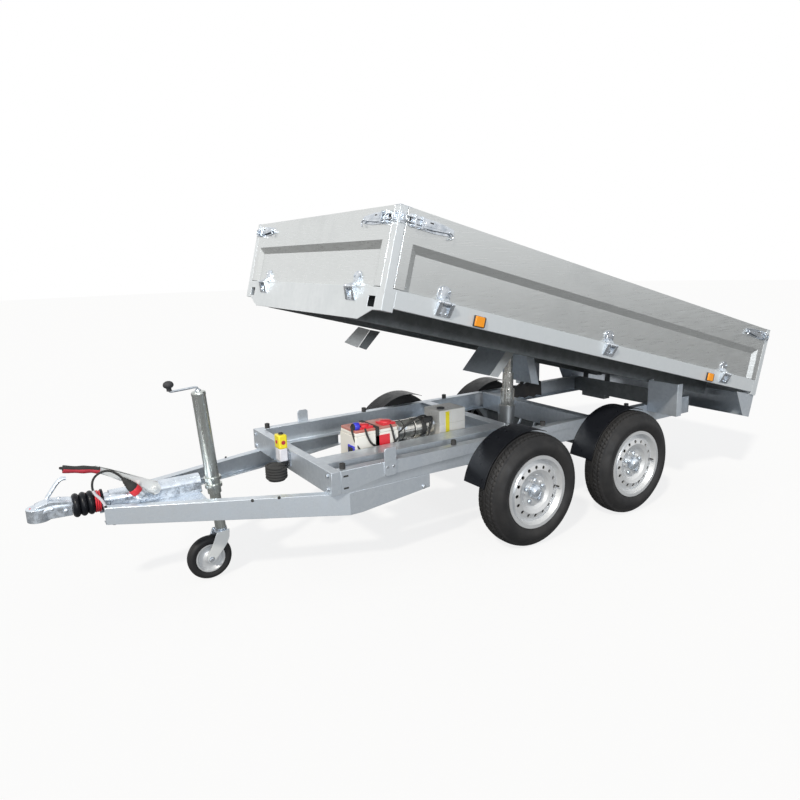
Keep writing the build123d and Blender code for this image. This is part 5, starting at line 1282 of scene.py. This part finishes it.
@dataclass
class PowerPack:
    """Battery, pump motor, oil tank and pendant control.

    Attributes:
        middle: The battery's and motor's middle, left of the trailer's.
        tray: The tray's top.
        axis_up: The motor's axis above the ground.
    """

    middle: float = 124.0
    tray: float = 429.0
    axis_up: float = 552.0

    def battery(self) -> None:
        """Makes the battery: case, lid, terminal covers, strap, connector and cables."""
        site = Site(np.array([485, self.middle, self.tray]), X, Y)
        case = Shell().slab(site, (-120.5, 120.5), (-79.5, 79.5), (0, 150))
        case.slab(site, (-117.5, 117.5), (-76.5, 76.5), (150, 166))
        for place in (-118, 104):
            case.slab(site, (place, place + 14), (-80, 80), (128, 150))
        case.build("battery_case", "battery_box", Finish.PALE, bevel=3, whole=True)
        lid = Shell().slab(site, (-116, 116), (-75, 75), (166, 180))
        lid.build("battery_lid", "battery_box", Finish.LID, bevel=3)
        covers = Shell()
        for x in (-70, 56):
            covers.slab(site, (x - 40, x + 32), (0, 72), (180, 191))
            covers.turned(site.moved(x - 4, 34, 190), [(0, 30), (6, 28), (9, 18), (10, 0)], 28)
        covers.slab(site, (-70, 10), (79.5, 82.5), (85, 140))
        covers.build("battery_covers", "battery_box", Finish.RED, bevel=4)
        dark = Shell().slab(site, (-10, 10), (-82.5, 82.5), (178, 183.5))
        for span in ((79.5, 82.5), (-82.5, -79.5)):
            dark.slab(site, (-10, 10), span, (0, 181))
        dark.slab(site, (122, 130), (18, 62), (50, 95))
        for line in (
            [(60, 36, 190), (62, 70, 191), (66, 88, 160), (40, 90, 100), (-10, 90, 85), (-60, 90, 70),
             (-110, 88, 100), (-130, 70, 120)],
            [(-75, 40, 190), (-80, 72, 191), (-82, 90, 150), (-100, 92, 60), (-128, 70, 80)],
            [(110, 20, 190), (124, 52, 182), (126, 74, 120), (80, 89, 50), (10, 90, 40)],
        ):
            dark.tube(smooth_line(site.path(line)), 5.2, 8)
        dark.build("battery_strap_and_cables", "battery_box", Finish.RUBBER, bevel=0.8)
        ring = [(0, 0), (0, 17), (4, 19.5), (24, 19.5), (28, 17), (28, 0)]
        blue = Shell().slab(site, (120.5, 128), (10, 70), (40, 104)).turned(facing(site.at(86, 52, 196), X), ring, 24)
        mouth = [(0, 0), (0, 16.5), (6, 16.5), (6.5, 12), (2, 11), (2, 0)]
        socket = Shell().turned(facing(site.at(113.5, 52, 196), X), mouth, 24)
        socket.build("battery_socket", "battery_box", Finish.RUBBER)
        blue.build("battery_connector", "battery_box", Finish.BLUE, bevel=2)

    def motor(self) -> None:
        """Makes the motor, its end caps, bands and studs, and the valve block with hoses."""
        axis = Site(np.array([116, self.middle, self.axis_up]), Y, Z)
        ribs = [(0, 0), (0, 40), (6, 47), (30, 48.5), (32, 51.5), (50, 51.5), (52, 48.5), (88, 48.5),
                (90, 51.5), (120, 51.5), (122, 49.5), (196, 49.5), (198, 51.5), (224, 51.5), (232, 46),
                (236, 34), (236, 0)]
        motor = Shell().turned(axis, ribs, 56)
        motor.slab(Site(np.array([220, self.middle, self.tray]), X, Y), (-20, 20), (-40, 40), (0, 80))
        motor.build("pump_motor_case", "pump_motor", Finish.CHROME, smooth=30.0, whole=True)
        dark = Shell()
        for low, high in ((56, 84), (124, 130), (188, 194)):
            dark.turned(axis, [(low, 48), (low, 50.8), (high, 50.8), (high, 48), (low, 48)], 48)
        block = Site(np.array([160, self.middle, self.axis_up]), X, Y)
        dark.slab(block, (-20, 28), (20, 51.5), (28, 52))
        for line in (((0, 30, 50), (10, 34, 64), (60, 40, 66), (130, 52, 40), (190, 52, 0), (206, 40, -20)),
                     ((-10, 40, 50), (-26, 52, 60), (-12, 60, 10), (20, 60, -60), (60, 55, -110))):
            dark.tube(smooth_line(block.path(line)), 5.2, 8)
        dark.build("pump_bands_and_hoses", "pump_motor", Finish.RUBBER, bevel=1)
        bright = Shell()
        for x in (130, 300, 335):
            bright.bolt(facing((x, self.middle, self.axis_up), Y + Z * 0.4).moved(0, 0, 51.5), 7)
        bright.build("pump_studs", "pump_motor", Finish.ZINC)

    def tank(self) -> None:
        """Makes the oil tank, its seam, yellow stripe and filler cap."""
        site = Site(np.array([28, 132, self.tray]), X, Y)
        tank = Shell().slab(site, (-83, 83), (-70, 70), (0, 204)).slab(site, (-85, 85), (-72, 72), (128, 136))
        tank.build("oil_tank_shell", "oil_tank", Finish.TANK, bevel=8, whole=True)
        stripe = Shell().slab(site, (22, 45), (66, 72.4), (60, 196))
        stripe.build("oil_tank_stripe", "oil_tank", Finish.YELLOW)
        cap = Shell().turned(site.moved(40, 20, 202), [(0, 0), (0, 20), (3, 21), (8, 20), (9, 17), (9, 0)], 24)
        cap.build("oil_tank_cap", "oil_tank", Finish.PLASTIC)

    def pendant(self) -> None:
        """Makes the two-tone control on its plate, with its buttons, gland and coiled tail."""
        site = Site(np.array([869, -8, 0]), Y, Z)
        back = Shell().slab(site, (-42, 42), (444, 518), (0, 6))
        back.build("pendant_plate", "pendant", Finish.ZINC, bevel=1, whole=True)
        top = Shell().slab(site, (-30, 30), (532, 600), (6, 49))
        top.build("pendant_top", "pendant", Finish.YELLOW, bevel=6)
        base = Shell().slab(site, (-28.5, 28.5), (470, 533), (7, 47))
        base.build("pendant_base", "pendant", Finish.WHITE, bevel=5)
        buttons = Shell().turned(facing((896, 21.5, 564), Y), [(0, 10.5), (2.2, 10), (3, 0)], 20)
        buttons.turned(site.moved(0, 566, 49), [(0, 9), (2.2, 8.5), (3, 0)], 20)
        buttons.build("pendant_buttons", "pendant", Finish.GRIP)
        key = Shell().turned(Site(site.at(0, 599, 26), X, Y), [(0, 0), (0, 12), (6, 12), (8.5, 8), (9, 0)], 20)
        key.build("pendant_key", "pendant", Finish.RUBBER)
        turn = np.linspace(0, 2 * math.pi * 4.5, 200)
        coil = np.stack([922.5 + 44 * np.sin(turn), -26 + 56 * np.cos(turn), 444 - 60 * turn / turn[-1]],
                        axis=1)
        tail = Shell().tube(coil, 7.6, 8)
        tail.turned(Site(np.array([922.5, -26, 372]), X, Y), [(0, 0), (0, 41), (70, 43), (73, 39), (73, 0)], 28)
        hook = smooth_line([(892.5, -8, 462), (894, -8, 452), (906, -16, 448), (922.5, -26, 442)])
        tail.tube(hook, 7.6, 8)
        tail.turned(Site(np.array([892.5, -8, 448]), X, Y), [(0, 0), (0, 13), (10, 12), (24, 9), (24, 0)], 20)
        tail.build("pendant_coil", "pendant", Finish.RUBBER, smooth=60.0)

    def build(self) -> None:
        """Makes the four units."""
        self.battery()
        self.motor()
        self.tank()
        self.pendant()
        LOG.info("power pack: battery, pump, tank and pendant")


@dataclass
class Ram:
    """Telescopic ram: dark barrel and bright stages."""

    def build(self) -> None:
        """Dresses barrel and stages."""
        dressed("ram_barrel", Finish.RAM, 1)
        for index in (1, 2, 3):
            dressed(f"ram_stage_{index}", Finish.CHROME, 0.6)
        LOG.info("ram: barrel and three stages")


@dataclass
class SmallParts:
    """The plain CAD nodes that keep their shape, and the bolts, holes and wheel chock on the chassis.

    Attributes:
        nodes: CAD nodes that keep their shape.
        bar_tip: Front end of a drawbar channel's outer face, as (x, distance from the middle).
        bar_root: Its rear end.
    """

    nodes: dict[str, Finish] = field(default_factory=lambda: {
        "buffers": Finish.RUBBER,
        "mudguards": Finish.MUDGUARD,
    })
    bar_tip: tuple[float, float] = (1710, 98)
    bar_root: tuple[float, float] = (785, 466)

    def build(self) -> None:
        """Dresses each plain part and adds fasteners, holes as thin black discs and slots of painted shade, and the
        wheel chock.
        """
        for node, finish in self.nodes.items():
            dressed(node, finish, 0.8)
        bolts, holes = Shell(), Shell()
        (tip_x, tip_y), (root_x, root_y) = self.bar_tip, self.bar_root
        slope = math.atan2(root_y - tip_y, tip_x - root_x)
        for side in (1, -1):
            flank = np.array([math.sin(slope), math.cos(slope) * side, 0])
            for x, z in ((1167, 426), (1064, 428)):
                y = tip_y + math.tan(slope) * (tip_x - x)
                # Thin black discs stand for the drawbar's holes; their darkness is painted shade.
                holes.turned(facing((x, side * y, z), flank), [(0, 0), (0, 7), (0.4, 7), (0.4, 0)], 16)
            for x in (1677, 1537):
                y = tip_y + math.tan(slope) * (tip_x - x) - 20
                bolts.bolt(facing((x, side * y, 378), -Z), 9)
            bolts.bolt(facing((396, side * 466, 366), Y * side), 8)
            for x in (560, 592):
                bolts.bolt(facing((x, side * BOLTED_Y, 500), Y * side), 7.5)
            for x in WHEEL_X.values():
                for ahead in (-60, 60):
                    bolts.bolt(facing((x + ahead, side * BOLTED_Y, 445), Y * side), 9)
            for z in (500, 446):
                # Thin black slots on the rails: painted shade in the openings.
                holes.plate(Site(np.array([0, side * 466.3, 0]), X, Z), rect(788, 812, z - 4, z + 4), -0.3, 0.3)
            for z in (445, 505):
                bolts.bolt(facing((869.5, side * 430, z), X), 8)
        bolts.build("chassis_bolts", "rails", Finish.ZINC, "zinc")
        holes.build("chassis_holes", "rails", Finish.RUBBER)
        chock = [(-873, 520), (-905, 535), (-935, 522), (-965, 538), (-995, 524), (-1025, 541), (-1060, 526),
                 (-1100, 545), (-1190, 545), (-1199, 440), (-1150, 452), (-1120, 440), (-1080, 456),
                 (-1040, 444), (-1000, 462), (-960, 450), (-875, 474)]
        block = Shell().plate(Site(np.array([0, -416, 0]), X, Z), chock, -22, 22)
        block.build("wheel_chock", "mudguards", Finish.DRUM, bevel=2)
        LOG.info("chassis trim: bolts, holes and wheel chock")


def main() -> None:
    """Builds the studio and then each sub-assembly."""
    logging.basicConfig(level=logging.INFO, format="%(name)s: %(message)s")
    Studio().build()
    Chassis().build()
    Bed().build()
    RoadWheels().build()
    Coupling().build()
    JockeyWheel().build()
    PowerPack().build()
    Ram().build()
    SmallParts().build()


if __name__ == "__main__":
    main()
